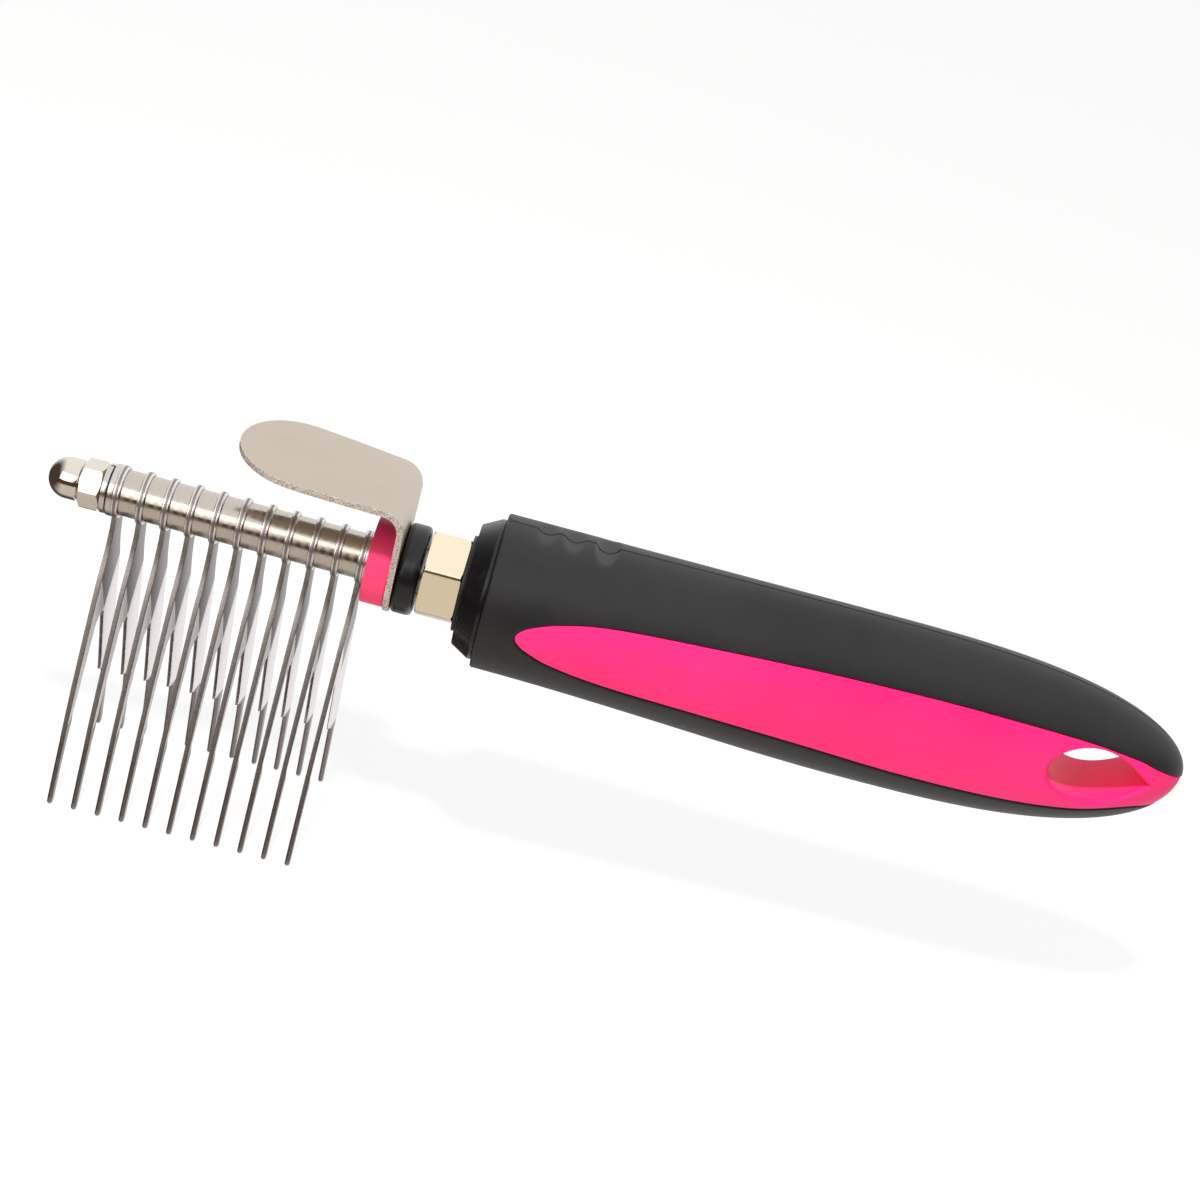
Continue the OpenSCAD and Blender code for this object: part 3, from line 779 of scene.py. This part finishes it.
def hexagon(name, x_low, x_high, across, trim, corner, bore, turn, finish, body, nodes, extra=()):
    """A hexagon nut: a chamfer cuts its corners back beyond the radius trim. extra replaces its far face."""
    points, faces = [], []
    columns = 6 * len(FACET)
    for k in range(columns):
        swing = math.radians(FACET[k % len(FACET)])
        angle = turn + math.radians(60 * (k // len(FACET)) + 30) + swing
        radius = facet_radius(swing, across / 2, corner)
        face_r, edge = min(trim, radius - NUT_FACE), NUT_EDGE
        back = (radius - face_r) * NUT_CHAMFER
        column = [(x_high, bore + edge), (x_high, face_r - edge), (x_high - edge * 0.5, face_r),
                  (x_high - back - edge * 0.3, radius - edge * 0.1), (x_high - back - edge, radius),
                  (x_low + back + edge, radius), (x_low + back + edge * 0.3, radius - edge * 0.1),
                  (x_low + edge * 0.5, face_r)]
        column += list(extra) or [(x_low, face_r - edge), (x_low, bore + edge), (x_low + edge, bore)]
        column.append((x_high - (CAP_BLIND if extra else edge), bore))
        points += swung(column, angle)
        n = len(column)
        faces += wall(k * n, (k + 1) % columns * n, n)
    return build(name, points, faces, [finish], body, nodes)


# Brass, drawn, turned and dip-polished: pale gold, bright, with slow ripples from the drawing.
nut_low, nut_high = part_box("lock_nut")
pale_brass, tree = blank("pale_brass_polished")
surface(tree, noise(tree, 2.5 * MM, 3.0), 0.5, 0.05 * MM,
        {"Base Color": linear("#FFF0D4"), "Metallic": 1.0, "Roughness": 0.16})
hexagon("gold_lock_nut", nut_low.x, nut_high.x, nut_high.y * 2, nut_high.y * 1.08, 1.1 * MM,
        NECK_BORE, math.radians(30), pale_brass, "lock_nut", ["lock_nut"])

# ---------------------------------------------------------------------------------------------
# Collar: a black acetal ring with well rounded shoulders, pressed on the rod behind the thumb rest.

collar_low, collar_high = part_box("rod_collar")
collar = tube(collar_low, collar_high, NECK_BORE, 1.1 * MM, 8)
turned("shouldered_collar", collar, black_acetal, "handle", ["rod_collar"])

# ---------------------------------------------------------------------------------------------
# Thumb rest: punched from 1.2 mm stainless sheet, bent once, and turned a little about the rod.
# Its foot is clamped between the disc and the collar.

SHEET_T = 1.2 * MM
BEND_R = 3.2 * MM       # inside the bend
PAD_HEIGHT = 15.9 * MM
PAD_L = 32.6 * MM
PAD_WAIST = 20.2 * MM   # its width at the bend
PAD_W = 22.6 * MM
PAD_RISE = math.radians(4)
PAD_TURN = math.radians(5)
FOOT_R = 8.5 * MM
FOOT_BORE = 2.55 * MM
SHEET_EDGE = 0.14 * MM
LEG_GAP = 0.06 * MM
LEG_X = collar_low.x - LEG_GAP - SHEET_T
middle_r = BEND_R + SHEET_T / 2
bend_z = PAD_HEIGHT - SHEET_T - BEND_R
bend_l = middle_r * (math.pi / 2 - PAD_RISE)
wide_x = LEG_X + SHEET_T - PAD_L + PAD_W / 2
wide_v = bend_z + bend_l + (LEG_X - BEND_R - wide_x)


def sheet_outline(grow):
    """Flat pattern of the sheet as (v, y): v runs up the leg, round the bend and along the pad."""
    side = []
    for i in range(17):
        angle = math.radians(-90 * (1 - i / 16))
        side.append(((FOOT_R + grow) * math.sin(angle), (FOOT_R + grow) * math.cos(angle)))
    for i in range(1, 9):
        side.append((bend_z * i / 8, lerp(FOOT_R, PAD_WAIST / 2, i / 8) + grow))
    for i in range(1, 25):
        t = i / 24
        side.append((lerp(bend_z, wide_v, t), lerp(PAD_WAIST, PAD_W, smooth(t)) / 2 + grow))
    for i in range(1, 25):
        angle = math.radians(90 * i / 24)
        side.append((wide_v + (PAD_W / 2 + grow) * math.sin(angle), (PAD_W / 2 + grow) * math.cos(angle)))
    return side[:-1] + [(side[-1][0], 0.0)] + [(v, -y) for v, y in reversed(side[1:-1])]


def bent(v, y, n):
    """Point of the bent sheet: n is the height above its middle."""
    if v <= bend_z:
        x, z = LEG_X + SHEET_T / 2 + n, v
    else:
        angle = min(v - bend_z, bend_l) / middle_r
        past = max(0.0, v - bend_z - bend_l)
        x = LEG_X - BEND_R + (middle_r + n) * math.cos(angle) - past * math.sin(angle)
        z = bend_z + (middle_r + n) * math.sin(angle) + past * math.cos(angle)
    return Vector((x, y * math.cos(PAD_TURN) - z * math.sin(PAD_TURN),
                   y * math.sin(PAD_TURN) + z * math.cos(PAD_TURN)))


def circle(radius, count=48):
    """A circle of points about the rod."""
    return [(radius * math.cos(a), radius * math.sin(a))
            for a in (2 * math.pi * i / count for i in range(count))]


outline = sheet_outline(-SHEET_EDGE)
bore = circle(FOOT_BORE)
in_sheet, off_sheet = inside(outline), clear_of(outline + bore, 0.6 * MM)
in_bore = inside(bore)
SHEET_STEP = 1.0 * MM
v_steps = [-FOOT_R + i * SHEET_STEP for i in range(60)]
y_steps = [i * SHEET_STEP for i in range(-12, 13)]
grid = grid_inside(v_steps, y_steps,
                   lambda v, y: in_sheet(v, y) and off_sheet(v, y) and not in_bore(v, y))
top_faces = fill([outline, bore], grid)
places = outline + bore + grid
n = len(places)
points = [bent(v, y, height) for height in (SHEET_T / 2, -SHEET_T / 2) for v, y in places]
faces = list(top_faces) + [[n + i for i in reversed(face)] for face in top_faces]
plain = len(faces)
ring = list(range(len(outline)))
under = [n + i for i in ring]
for grow, height in ((-0.04 * MM, SHEET_T / 2 - 0.04 * MM), (0.0, SHEET_T / 2 - SHEET_EDGE),
                     (0.0, SHEET_EDGE - SHEET_T / 2), (-0.04 * MM, 0.04 * MM - SHEET_T / 2)):
    new = grown(points, [bent(v, y, height) for v, y in sheet_outline(grow)])
    faces += strip(ring, new)
    ring = new
faces += strip(ring, under)
edge_count = len(faces) - plain
bore_ring = list(range(len(outline), len(outline) + len(bore)))
faces += strip([n + i for i in bore_ring], bore_ring)
face_finish = [0] * plain + [1] * edge_count + [0] * len(bore)

# Stainless steel sheet, tumbled satin: a warm grey with a soft reflection and a faint mottling.
SATIN_GRAIN = 0.3 * MM
satin_steel, tree = blank("stainless_steel_satin")
mottle = noise(tree, 16 * MM, 3.0)
surface(tree, noise(tree, SATIN_GRAIN, 4.0), 0.2, 0.01 * MM, {
    "Base Color": ramp(tree, mottle, (0.35, "#CFC4B6"), (0.68, "#D6CBBC")), "Metallic": 1.0,
    "Roughness": scaled(tree, mottle, goes=(0.38, 0.44))})

# The punched edge is sheared and torn: coarse bright grains with dark pits between them.
TORN_GRAIN = 0.28 * MM
torn_steel, tree = blank("stainless_steel_sheared")
pits = add(tree, "TexVoronoi", {"Vector": add(tree, "TexCoord").outputs["Object"],
                                "Scale": 1 / TORN_GRAIN}).outputs["Distance"]
surface(tree, pits, 0.5, 0.05 * MM, {
    "Base Color": ramp(tree, pits, (0.25, "#E9E0D6"), (0.8, "#A0958A")), "Metallic": 0.6,
    "Roughness": 0.55})
build("bent_thumb_rest", points, faces, [satin_steel, torn_steel], "thumb_rest",
      ["thumb_rest"], face_finish=face_finish)

# ---------------------------------------------------------------------------------------------
# Disc and inner washer: a pink acetal spacer next to the thumb rest, and a thin steel washer
# between it and the last blade.

STUB_BORE = 2.55 * MM
disc_low, disc_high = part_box("spacer_disc")
pink_acetal, tree = blank("pink_acetal_turned")
surface(tree, noise(tree, 0.8 * MM, 4.0), 0.1, 0.02 * MM,
        {"Base Color": linear("#E8386A"), "Roughness": 0.42, "IOR": 1.48, "Specular IOR Level": 0.35})
turned("pink_spacer", tube(disc_low, disc_high, STUB_BORE, 0.2 * MM), pink_acetal,
       "handle", ["spacer_disc"])

washer_low, washer_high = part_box("inner_washer")
bright_steel, tree = blank("stainless_steel_bright")
surface(tree, noise(tree, 0.6 * MM, 3.0), 0.2, 0.02 * MM,
        {"Base Color": linear("#D9D3CB"), "Metallic": 1.0, "Roughness": 0.24})
turned("thin_washer", tube(washer_low, washer_high, STUB_BORE, 0.12 * MM), bright_steel,
       "handle", ["inner_washer"])

# ---------------------------------------------------------------------------------------------
# Blades: eleven forks punched from 0.9 mm steel. The face that looks to the handle is ground from
# an oblique line below the crotch down to a step, which leaves a keen inner edge, and the tines
# below the step are slim and tumbled round.

blade_low, blade_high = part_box("blade_01")
BLADE_T = blade_high.x - blade_low.x
BLADE_L = -blade_low.z
EYE_R = blade_high.z
TIP_SPREAD = 33.6 * MM
NECK_W = 5.6 * MM
NECK_Z = 6.3 * MM       # depths below the rod: neck, crotch and step
CROTCH_Z = 24.5 * MM
STEP_Z = 41.5 * MM
STEP_L = 1.2 * MM
LEG_BOW = 1.5 * MM
LEG_W = 8.2 * MM        # widths of a leg: at the crotch, above and below the step, and at the tip
LEG_STEP_W = 5.5 * MM
TINE_W = 3.0 * MM
TIP_W = 1.9 * MM
SIDE_STEPS = 44
NECK_HOLD = 0.6 * MM    # the stem stays this much narrower just below the neck
HOLD_Z = 10.5 * MM
HOLD_RUN = 3.5 * MM
# The wheel runs out between two slanting lines, as (y, depth) from the outer side inwards. The
# ground face lies below the lower one and ends in a keen bevel along the inner edge.
RUNOUT_TOP = [(5.75 * MM, 15.3 * MM), (3.2 * MM, 18.9 * MM), (0.0, 24.0 * MM)]
RUNOUT_LOW = [(7.3 * MM, 19.5 * MM), (2.8 * MM, 26.9 * MM)]
LAND_T = 0.42 * MM      # thickness where the ground face meets the keen bevel
KEEN_W = 0.45 * MM
EDGE_T = 0.1 * MM
GRIND_END = STEP_Z + 0.3 * MM
LEG_ROUND = 0.08 * MM   # rounding of the edges: slight on the stem and legs, full on the tines
TINE_ROUND = 0.36 * MM
ROUND_RUN = 4 * MM


def leg_outer(z):
    """Distance of a leg's outer edge from the blade's middle, at a depth below the rod."""
    share = (z - NECK_Z) / (BLADE_L - NECK_Z)
    held = NECK_HOLD * math.exp(-((z - HOLD_Z) / HOLD_RUN) ** 2)
    return lerp(NECK_W, TIP_SPREAD, share) / 2 + 4 * LEG_BOW * share * (1 - share) - held


def leg_inner(z):
    """The same for its inner edge, above the step."""
    return leg_outer(z) - lerp(LEG_W, LEG_STEP_W, (z - CROTCH_Z) / (STEP_Z - CROTCH_Z))


def tine_inner(z):
    """The same for the tine's inner edge, below the step."""
    return leg_outer(z) - lerp(TINE_W, TIP_W, (z - STEP_Z) / (BLADE_L - STEP_Z))


def blade_side():
    """Right-hand half of the blade's outline as (y, z), from the top of its eye to the crotch."""
    tip_r = TIP_W / 2
    tip_z = BLADE_L - tip_r
    eye_end = -math.acos(NECK_W / 2 / EYE_R)
    side = [(EYE_R * math.cos(a), EYE_R * math.sin(a))
            for a in (lerp(math.pi / 2, eye_end, i / 24) for i in range(25))]
    side += [(leg_outer(z), -z) for z in (lerp(NECK_Z, tip_z, i / SIDE_STEPS) for i in range(SIDE_STEPS))]
    side += [(leg_outer(tip_z) - tip_r + tip_r * math.cos(a), -tip_z + tip_r * math.sin(a))
             for a in (-math.pi * i / 8 for i in range(9))]
    side += [(tine_inner(z), -z)
             for z in (lerp(tip_z, STEP_Z + STEP_L, i / 14) for i in range(1, 15))]
    side += [(leg_inner(z), -z) for z in (lerp(STEP_Z, CROTCH_Z, i / 16) for i in range(17))]
    return side


def drawn_in(outline, amount):
    """The closed outline, drawn in by amount(y, z) at each point."""
    moved = []
    for i, (y, z) in enumerate(outline):
        before, after = Vector(outline[i - 1]), Vector(outline[(i + 1) % len(outline)])
        at = Vector((y, z))
        a, b = (at - before).normalized(), (after - at).normalized()
        normal = Vector((a.y + b.y, -a.x - b.x))
        normal.normalize()
        spread = max(0.5, normal.dot(Vector((a.y, -a.x))))
        moved.append(tuple(at + normal * amount(y, z) / spread))
    return moved


def edge_round(y, z):
    """Rounding of the blade's edges at one of its points."""
    return lerp(LEG_ROUND, TINE_ROUND, smooth((-z - STEP_Z) / ROUND_RUN))


def line_depth(line, y):
    """Depth of a slanting line at a distance y from the blade's middle."""
    for (y0, d0), (y1, d1) in zip(line, line[1:]):
        if y >= y1 or (y1, d1) == line[-1]:
            return d0 + (d1 - d0) * (y - y0) / (y1 - y0)


def runout(y, z):
    """Share of the wheel's run-out: 0 on the stem, 1 on the ground face."""
    top, low = line_depth(RUNOUT_TOP, abs(y)), line_depth(RUNOUT_LOW, abs(y))
    return min(1.0, max(0.0, (-z - top) / (low - top)))


def face_x(y, z):
    """Height of the ground face above the flat back at a point of the blade."""
    share, y, depth = runout(y, z), abs(y), -z
    if depth > GRIND_END:
        return BLADE_T
    inner = leg_inner(max(depth, CROTCH_Z))
    across = min(1.0, max(0.0, (leg_outer(depth) - y) / (leg_outer(depth) - inner)))
    x = lerp(BLADE_T, lerp(BLADE_T, LAND_T, across), share)
    keen = min(1.0, max(0.0, 1 - (y - inner) / KEEN_W)) * smooth((depth - CROTCH_Z) / (1.5 * MM))
    return lerp(x, EDGE_T, keen)


def spaced(line, step):
    """The line with points no further apart than step."""
    points = [line[0]]
    for a, b in zip(line, line[1:]):
        count = max(1, round(math.dist(a, b) / step))
        points += [(lerp(a[0], b[0], i / count), lerp(a[1], b[1], i / count)) for i in range(1, count + 1)]
    return points


side = blade_side()
blade_line = side + [(-y, z) for y, z in reversed(side[1:])]
face_line = drawn_in(blade_line, edge_round)
eye_bore = circle(STUB_BORE)
in_face, in_eye = inside(face_line), inside(eye_bore)
BLADE_STEP = 0.6 * MM
top_line = spaced(RUNOUT_TOP, BLADE_STEP)
low_line = spaced(RUNOUT_LOW, BLADE_STEP)
keen_line = [(leg_inner(depth) + KEEN_W, depth)
             for depth in (lerp(CROTCH_Z + 2.9 * MM, STEP_Z - 0.1 * MM, i / 22) for i in range(23))]
creases = [[(y, -depth) for y, depth in top_line + [(-y, depth) for y, depth in top_line[-2::-1]]]]
for line in (low_line, keen_line):
    creases += [[(sign * y, -depth) for y, depth in line] for sign in (1, -1)]
crease_points = [p for line in creases for p in line]
off_lines = clear_of(face_line + eye_bore + crease_points, 0.3 * MM)
ys = [-17 * MM + i * BLADE_STEP for i in range(int(34 * MM / BLADE_STEP) + 1)]
zs = [5 * MM - i * BLADE_STEP for i in range(int(63 * MM / BLADE_STEP) + 1)]
grid = grid_inside(ys, zs, lambda y, z: in_face(y, z) and off_lines(y, z) and not in_eye(y, z))
blade_faces = fill([face_line, eye_bore], grid, creases)
places = face_line + eye_bore + crease_points + grid
n = len(places)
points = [(face_x(y, z), y, z) for y, z in places] + [(0.0, y, z) for y, z in places]
faces = list(blade_faces) + [[n + i for i in reversed(face)] for face in blade_faces]
plain = len(faces)
ring = list(range(len(face_line)))
under = [n + i for i in ring]
for share, ground in ((0.3, 1), (1.0, 1), (1.0, 0), (0.3, 0)):
    line = drawn_in(blade_line, lambda y, z: edge_round(y, z) * (1 - share) ** 1.5)
    new = []
    for (y, z), (a, b) in zip(line, face_line):
        off_face = min(edge_round(y, z), 0.4 * face_x(a, b)) * share ** 2
        new += grown(points, [(face_x(a, b) - off_face if ground else off_face, y, z)])
    faces += strip(ring, new)
    ring = new
faces += strip(ring, under)
bore_ring = list(range(len(face_line), len(face_line) + len(eye_bore)))
faces += strip([n + i for i in bore_ring], bore_ring)
face_finish = [0] * len(faces)
for i, face in enumerate(blade_faces):
    y = sum(places[k][0] for k in face) / len(face)
    z = sum(places[k][1] for k in face) / len(face)
    if runout(y, z) > 0 and -z < GRIND_END:
        face_finish[i] = 1

# Rim of the eye: a proud bead on both faces round the spacers' ends, with a groove in its middle.
RIM_PROUD = 0.2 * MM
RIM_IN = 4.3 * MM
RIM_GROOVE = 0.2 * MM   # half the groove's width
RIM_GROOVE_T = 0.16 * MM
rim_mid = BLADE_T / 2
bead = rounded([(-RIM_PROUD, RIM_IN), (-RIM_PROUD, EYE_R), (rim_mid - RIM_GROOVE, EYE_R),
                (rim_mid, EYE_R - RIM_GROOVE_T), (rim_mid + RIM_GROOVE, EYE_R),
                (BLADE_T + RIM_PROUD, EYE_R), (BLADE_T + RIM_PROUD, RIM_IN)], 0.2 * MM)
n, start = len(bead), len(points)
for k in range(TURNED_STEPS):
    points += swung(bead, 2 * math.pi * k / TURNED_STEPS)
    faces += wall(start + k * n, start + (k + 1) % TURNED_STEPS * n, n)
    face_finish += [1] * n

# Stainless steel strip, punched and tumbled: a dull, slightly warm grey before it is ground.
TUMBLE_GRAIN = 0.35 * MM
tumbled_steel, tree = blank("stainless_steel_tumbled")
dents = noise(tree, TUMBLE_GRAIN, 4.0)
surface(tree, dents, 0.25, 0.02 * MM, {
    "Base Color": ramp(tree, dents, (0.35, "#8C8886"), (0.65, "#A6A09E")), "Metallic": 1.0,
    "Roughness": scaled(tree, dents, goes=(0.34, 0.46))})

# Ground with a fine belt after that: bright, and streaked along the legs.
BELT_SCRATCH = 0.3 * MM
DRAWN_OUT = (1.0, 1.0, 0.08)    # the scratches run down the legs
blade_steel, tree = blank("stainless_steel_belt_ground")
place = add(tree, "Mapping", {"Vector": add(tree, "TexCoord").outputs["Object"], "Scale": DRAWN_OUT})
streaks = noise(tree, BELT_SCRATCH, 4.0, place.outputs[0])
surface(tree, streaks, 0.25, 0.02 * MM, {
    "Base Color": ramp(tree, streaks, (0.3, "#E4DCDA"), (0.7, "#F4EEEC")), "Metallic": 1.0,
    "Roughness": scaled(tree, streaks, goes=(0.2, 0.32))})

first_blade = build("fork_blade_01", points, faces, [tumbled_steel, blade_steel], "blade_pack",
                    ["blade_01"], at=(blade_low.x, 0, 0), face_finish=face_finish)
BLADES = 11
for i in range(2, BLADES + 1):
    low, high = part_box(f"blade_{i:02d}")
    place_piece(f"fork_blade_{i:02d}", first_blade.data, "blade_pack",
                [f"blade_{i:02d}"], at=(low.x, 0, 0))

# ---------------------------------------------------------------------------------------------
# Spacers: ten short polished steel tubes that hold the blades apart.

spacer_low, spacer_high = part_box("spacer_01")
SPACER_L = spacer_high.x - spacer_low.x
polished_steel, tree = blank("stainless_steel_polished")
rings = tool_rings(tree, 3.0, 4.0)
surface(tree, rings, 0.12, 0.01 * MM, {
    "Base Color": linear("#CFC7BC"), "Metallic": 1.0,
    "Roughness": scaled(tree, rings, goes=(0.16, 0.27))})
spacer = tube(Vector(), Vector((SPACER_L, spacer_high.y, 0)), STUB_BORE, 0.22 * MM)
first_spacer = turned("spacer_tube_01", spacer, polished_steel, "blade_pack",
                      ["spacer_01"], at=(spacer_low.x, 0, 0))
for i in range(2, BLADES):
    low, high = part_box(f"spacer_{i:02d}")
    place_piece(f"spacer_tube_{i:02d}", first_spacer.data, "blade_pack",
                [f"spacer_{i:02d}"], at=(low.x, 0, 0))

# ---------------------------------------------------------------------------------------------
# End washers: a flat washer against the first blade and a split spring washer under the cap nut.

flat_low, flat_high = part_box("flat_washer")
turned("end_flat_washer", tube(flat_low, flat_high, STUB_BORE, 0.2 * MM), bright_steel,
       "end_washers", ["flat_washer"])

spring_low, spring_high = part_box("spring_washer")
SPRING_STEPS = 84
SPLIT = math.radians(6)
SPRING_SKEW = 0.12 * MM     # its ends stand this far apart along the rod
SPRING_IN = Vector((SPRING_SKEW, 0.1 * MM, 0))
spring = tube(spring_low + SPRING_IN, spring_high - SPRING_IN, STUB_BORE + SPRING_IN.y, 0.15 * MM)
points, faces = [], []
n = len(spring)
for k in range(SPRING_STEPS + 1):
    angle = math.pi / 2 + SPLIT / 2 + (2 * math.pi - SPLIT) * k / SPRING_STEPS
    wind = SPRING_SKEW * (2 * k / SPRING_STEPS - 1)
    points += swung([(x + wind, r) for x, r in spring], angle)
    if k:
        faces += wall((k - 1) * n, k * n, n)
faces += [list(range(n)), list(range(SPRING_STEPS * n, SPRING_STEPS * n + n))]
build("split_spring_washer", points, faces, [bright_steel], "end_washers",
      ["spring_washer"])

# ---------------------------------------------------------------------------------------------
# Cap nut: a domed hexagon in polished nickel plate, with a waist between hexagon and dome. It
# closes the blade pack.

cap_low, cap_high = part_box("cap_nut")
CAP_HEX_L = 4 * MM
CAP_AF = 8 * MM
CAP_FACE_R = CAP_AF / 2 * 0.98
CAP_THREAD = 2.4 * MM   # the thread's end, from the top of the dome
DOME_R = 3.75 * MM
PIP_R = 0.02 * MM       # radius of a pinhole down the dome's axis, where its outline closes
dome_end = cap_low.x
waist_x = cap_high.x - CAP_HEX_L
dome = [(waist_x, CAP_FACE_R - 0.15 * MM), (waist_x, 3.5 * MM), (waist_x - 0.15 * MM, 3.42 * MM),
        (waist_x - 0.35 * MM, 3.6 * MM), (waist_x - 0.6 * MM, DOME_R)]
DOME_STEPS = 16
for i in range(DOME_STEPS):
    swing = math.pi / 2 * i / DOME_STEPS
    dome.append((dome_end + DOME_R * (1 - math.sin(swing)), DOME_R * math.cos(swing)))
dome += [(dome_end, PIP_R), (dome_end + CAP_THREAD, PIP_R), (dome_end + CAP_THREAD, STUB_BORE)]
nickel, tree = blank("nickel_plate_polished")
surface(tree, noise(tree, 1.5 * MM, 3.0), 0.15, 0.02 * MM,
        {"Base Color": linear("#E9E0D6"), "Metallic": 1.0, "Roughness": 0.09})
hexagon("domed_cap_nut", waist_x, cap_high.x, CAP_AF, CAP_FACE_R, 0.25 * MM, STUB_BORE,
        math.radians(60), nickel, "cap_nut", ["cap_nut"], extra=dome)

# ---------------------------------------------------------------------------------------------
# Studio: a white floor that keeps the shadow, a key lamp above and in front of the blades, a soft
# fill, and a room whose tones by direction are what the metal mirrors. The camera stands in front of
# the head, looks down at it, and leans to the left.

FLOOR_Z = cad_box[0][2]
CAMERA_AT = Vector((-103.71, -375.19, 182.83)) * MM
CAMERA_TO = Vector((-92.34, 0.0, 3.73)) * MM
CAMERA_ROLL = math.radians(15.7)
FRAME_PX = 1200
FOCAL_PX = 2313.9
SENSOR_MM = 36.0

# Paper floor: white to the eye but for the shadow, plain paper to the light that it gives back, and
# nothing to metal, which sees the room through it.
white_sweep, tree = blank("white_paper_sweep")
path = add(tree, "LightPath")
seen = add(tree, "Math", {0: path.outputs["Is Camera Ray"], 1: path.outputs["Is Transmission Ray"]},
           operation="MAXIMUM")
paper = add(tree, "BsdfDiffuse", {"Color": linear("#E6E6E6")})
shadowed = add(tree, "BsdfDiffuse", {"Color": linear("#6E6E6E")})
glow = add(tree, "Emission", {"Color": linear("#FFFFFF"), "Strength": 0.86})
lit = add(tree, "AddShader", {0: shadowed.outputs[0], 1: glow.outputs[0]})
sweep = add(tree, "MixShader", {0: seen.outputs[0], 1: paper.outputs[0], 2: lit.outputs[0]})
beyond = add(tree, "BsdfTransparent")
sweep = add(tree, "MixShader", {0: path.outputs["Is Glossy Ray"], 1: sweep.outputs[0], 2: beyond.outputs[0]})
add(tree, "OutputMaterial", {"Surface": sweep.outputs[0]})
FLOOR_HALF = 3.0
mesh = bpy.data.meshes.new("floor")
mesh.from_pydata([(-FLOOR_HALF, -FLOOR_HALF, FLOOR_Z), (FLOOR_HALF, -FLOOR_HALF, FLOOR_Z),
                  (FLOOR_HALF, FLOOR_HALF, FLOOR_Z), (-FLOOR_HALF, FLOOR_HALF, FLOOR_Z)], [], [[0, 1, 2, 3]])
mesh.materials.append(white_sweep)
floor = bpy.data.objects.new("floor", mesh)
bpy.context.scene.collection.objects.link(floor)


def lamp(name, at, to, size, power, colour):
    """A square soft lamp that looks at a point."""
    light = bpy.data.lights.new(name, "AREA")
    light.size = size
    light.energy = power
    light.color = linear(colour)[:3]
    made = bpy.data.objects.new(name, light)
    made.location = at
    made.rotation_euler = (Vector(to) - Vector(at)).to_track_quat("-Z", "Y").to_euler()
    bpy.context.scene.collection.objects.link(made)
    return made


AIM = (-0.12, 0.0, 0.0)
key = lamp("key", (-0.16, -0.30, 0.60), AIM, 0.06, 5.6, "#FFF8F0")
key.visible_glossy = False      # metal and plastic show no spot of it
lamp("fill", (-0.5, -0.7, 0.35), AIM, 0.6, 2.2, "#FFF6EE")

world = bpy.data.worlds.new("studio")
bpy.context.scene.world = world
world.use_nodes = True
tree = world.node_tree
tree.nodes.clear()
path = add(tree, "LightPath")
way = add(tree, "TexCoord").outputs["Generated"]
to_x, to_y, to_z = add(tree, "SeparateXYZ", {"Vector": way}).outputs
WHITE = linear("#FFFFFF")
upward = scaled(tree, to_z, (-1.0, 1.0))

# The room's light: pale above, dark below in front, white behind.
room = mixed(tree, scaled(tree, to_y, (-0.15, 0.35)),
             ramp(tree, upward, (0.46, "#4A4038"), (0.95, "#F4EFEA")), WHITE)

# What metal sees in front: pale paper below, a dark room at eye level, white above.
front = ramp(tree, upward,
             (0.31, "#D6CEC6"), (0.38, "#4A4038"), (0.66, "#4A4038"), (0.74, "#FFFFFF"))
# Behind: white above, and below a tone that rises to the right.
away = add(tree, "Math", {0: to_y, 1: 0.05}, operation="MAXIMUM")
bearing = add(tree, "Math", {0: to_x, 1: away.outputs[0]}, operation="DIVIDE").outputs[0]
rising = ramp(tree, scaled(tree, bearing, (-0.4, 0.4)),
              (0.1, "#5A524C"), (0.26, "#6A625C"), (0.46, "#DAD4D4"), (0.82, "#FFFFFF"))
back = mixed(tree, scaled(tree, to_z, (-0.3, 0.0)), rising, WHITE)
# Far to the left: a dark wall.
mirrored = mixed(tree, scaled(tree, to_y, (-0.1, 0.2)), front, back)
mirrored = mixed(tree, scaled(tree, to_x, (-0.8, -0.4)), linear("#4A3C36"), mirrored)
white = add(tree, "Background", {"Color": WHITE, "Strength": 1.0})
glossy = add(tree, "Background", {"Color": mirrored, "Strength": 1.0})
studio = add(tree, "Background", {"Color": room, "Strength": 0.62})
either = add(tree, "MixShader", {0: path.outputs["Is Glossy Ray"], 1: studio.outputs[0],
                                 2: glossy.outputs[0]})
either = add(tree, "MixShader", {0: path.outputs["Is Camera Ray"], 1: either.outputs[0],
                                 2: white.outputs[0]})
add(tree, "OutputWorld", {"Surface": either.outputs[0]})

camera_data = bpy.data.cameras.new("camera")
camera_data.sensor_width = SENSOR_MM
camera_data.sensor_fit = "HORIZONTAL"
camera_data.lens = SENSOR_MM * FOCAL_PX / FRAME_PX
camera_data.clip_start = 0.01
camera = bpy.data.objects.new("camera", camera_data)
ahead = (CAMERA_TO - CAMERA_AT).normalized()
level = ahead.cross(Vector((0, 0, 1))).normalized()
upright = level.cross(ahead)
right = level * math.cos(CAMERA_ROLL) + upright * math.sin(CAMERA_ROLL)
up = upright * math.cos(CAMERA_ROLL) - level * math.sin(CAMERA_ROLL)
camera.matrix_world = Matrix.Translation(CAMERA_AT) @ Matrix((right, up, -ahead)).transposed().to_4x4()
bpy.context.scene.collection.objects.link(camera)
bpy.context.scene.camera = camera
bpy.context.scene.view_settings.view_transform = "Standard"
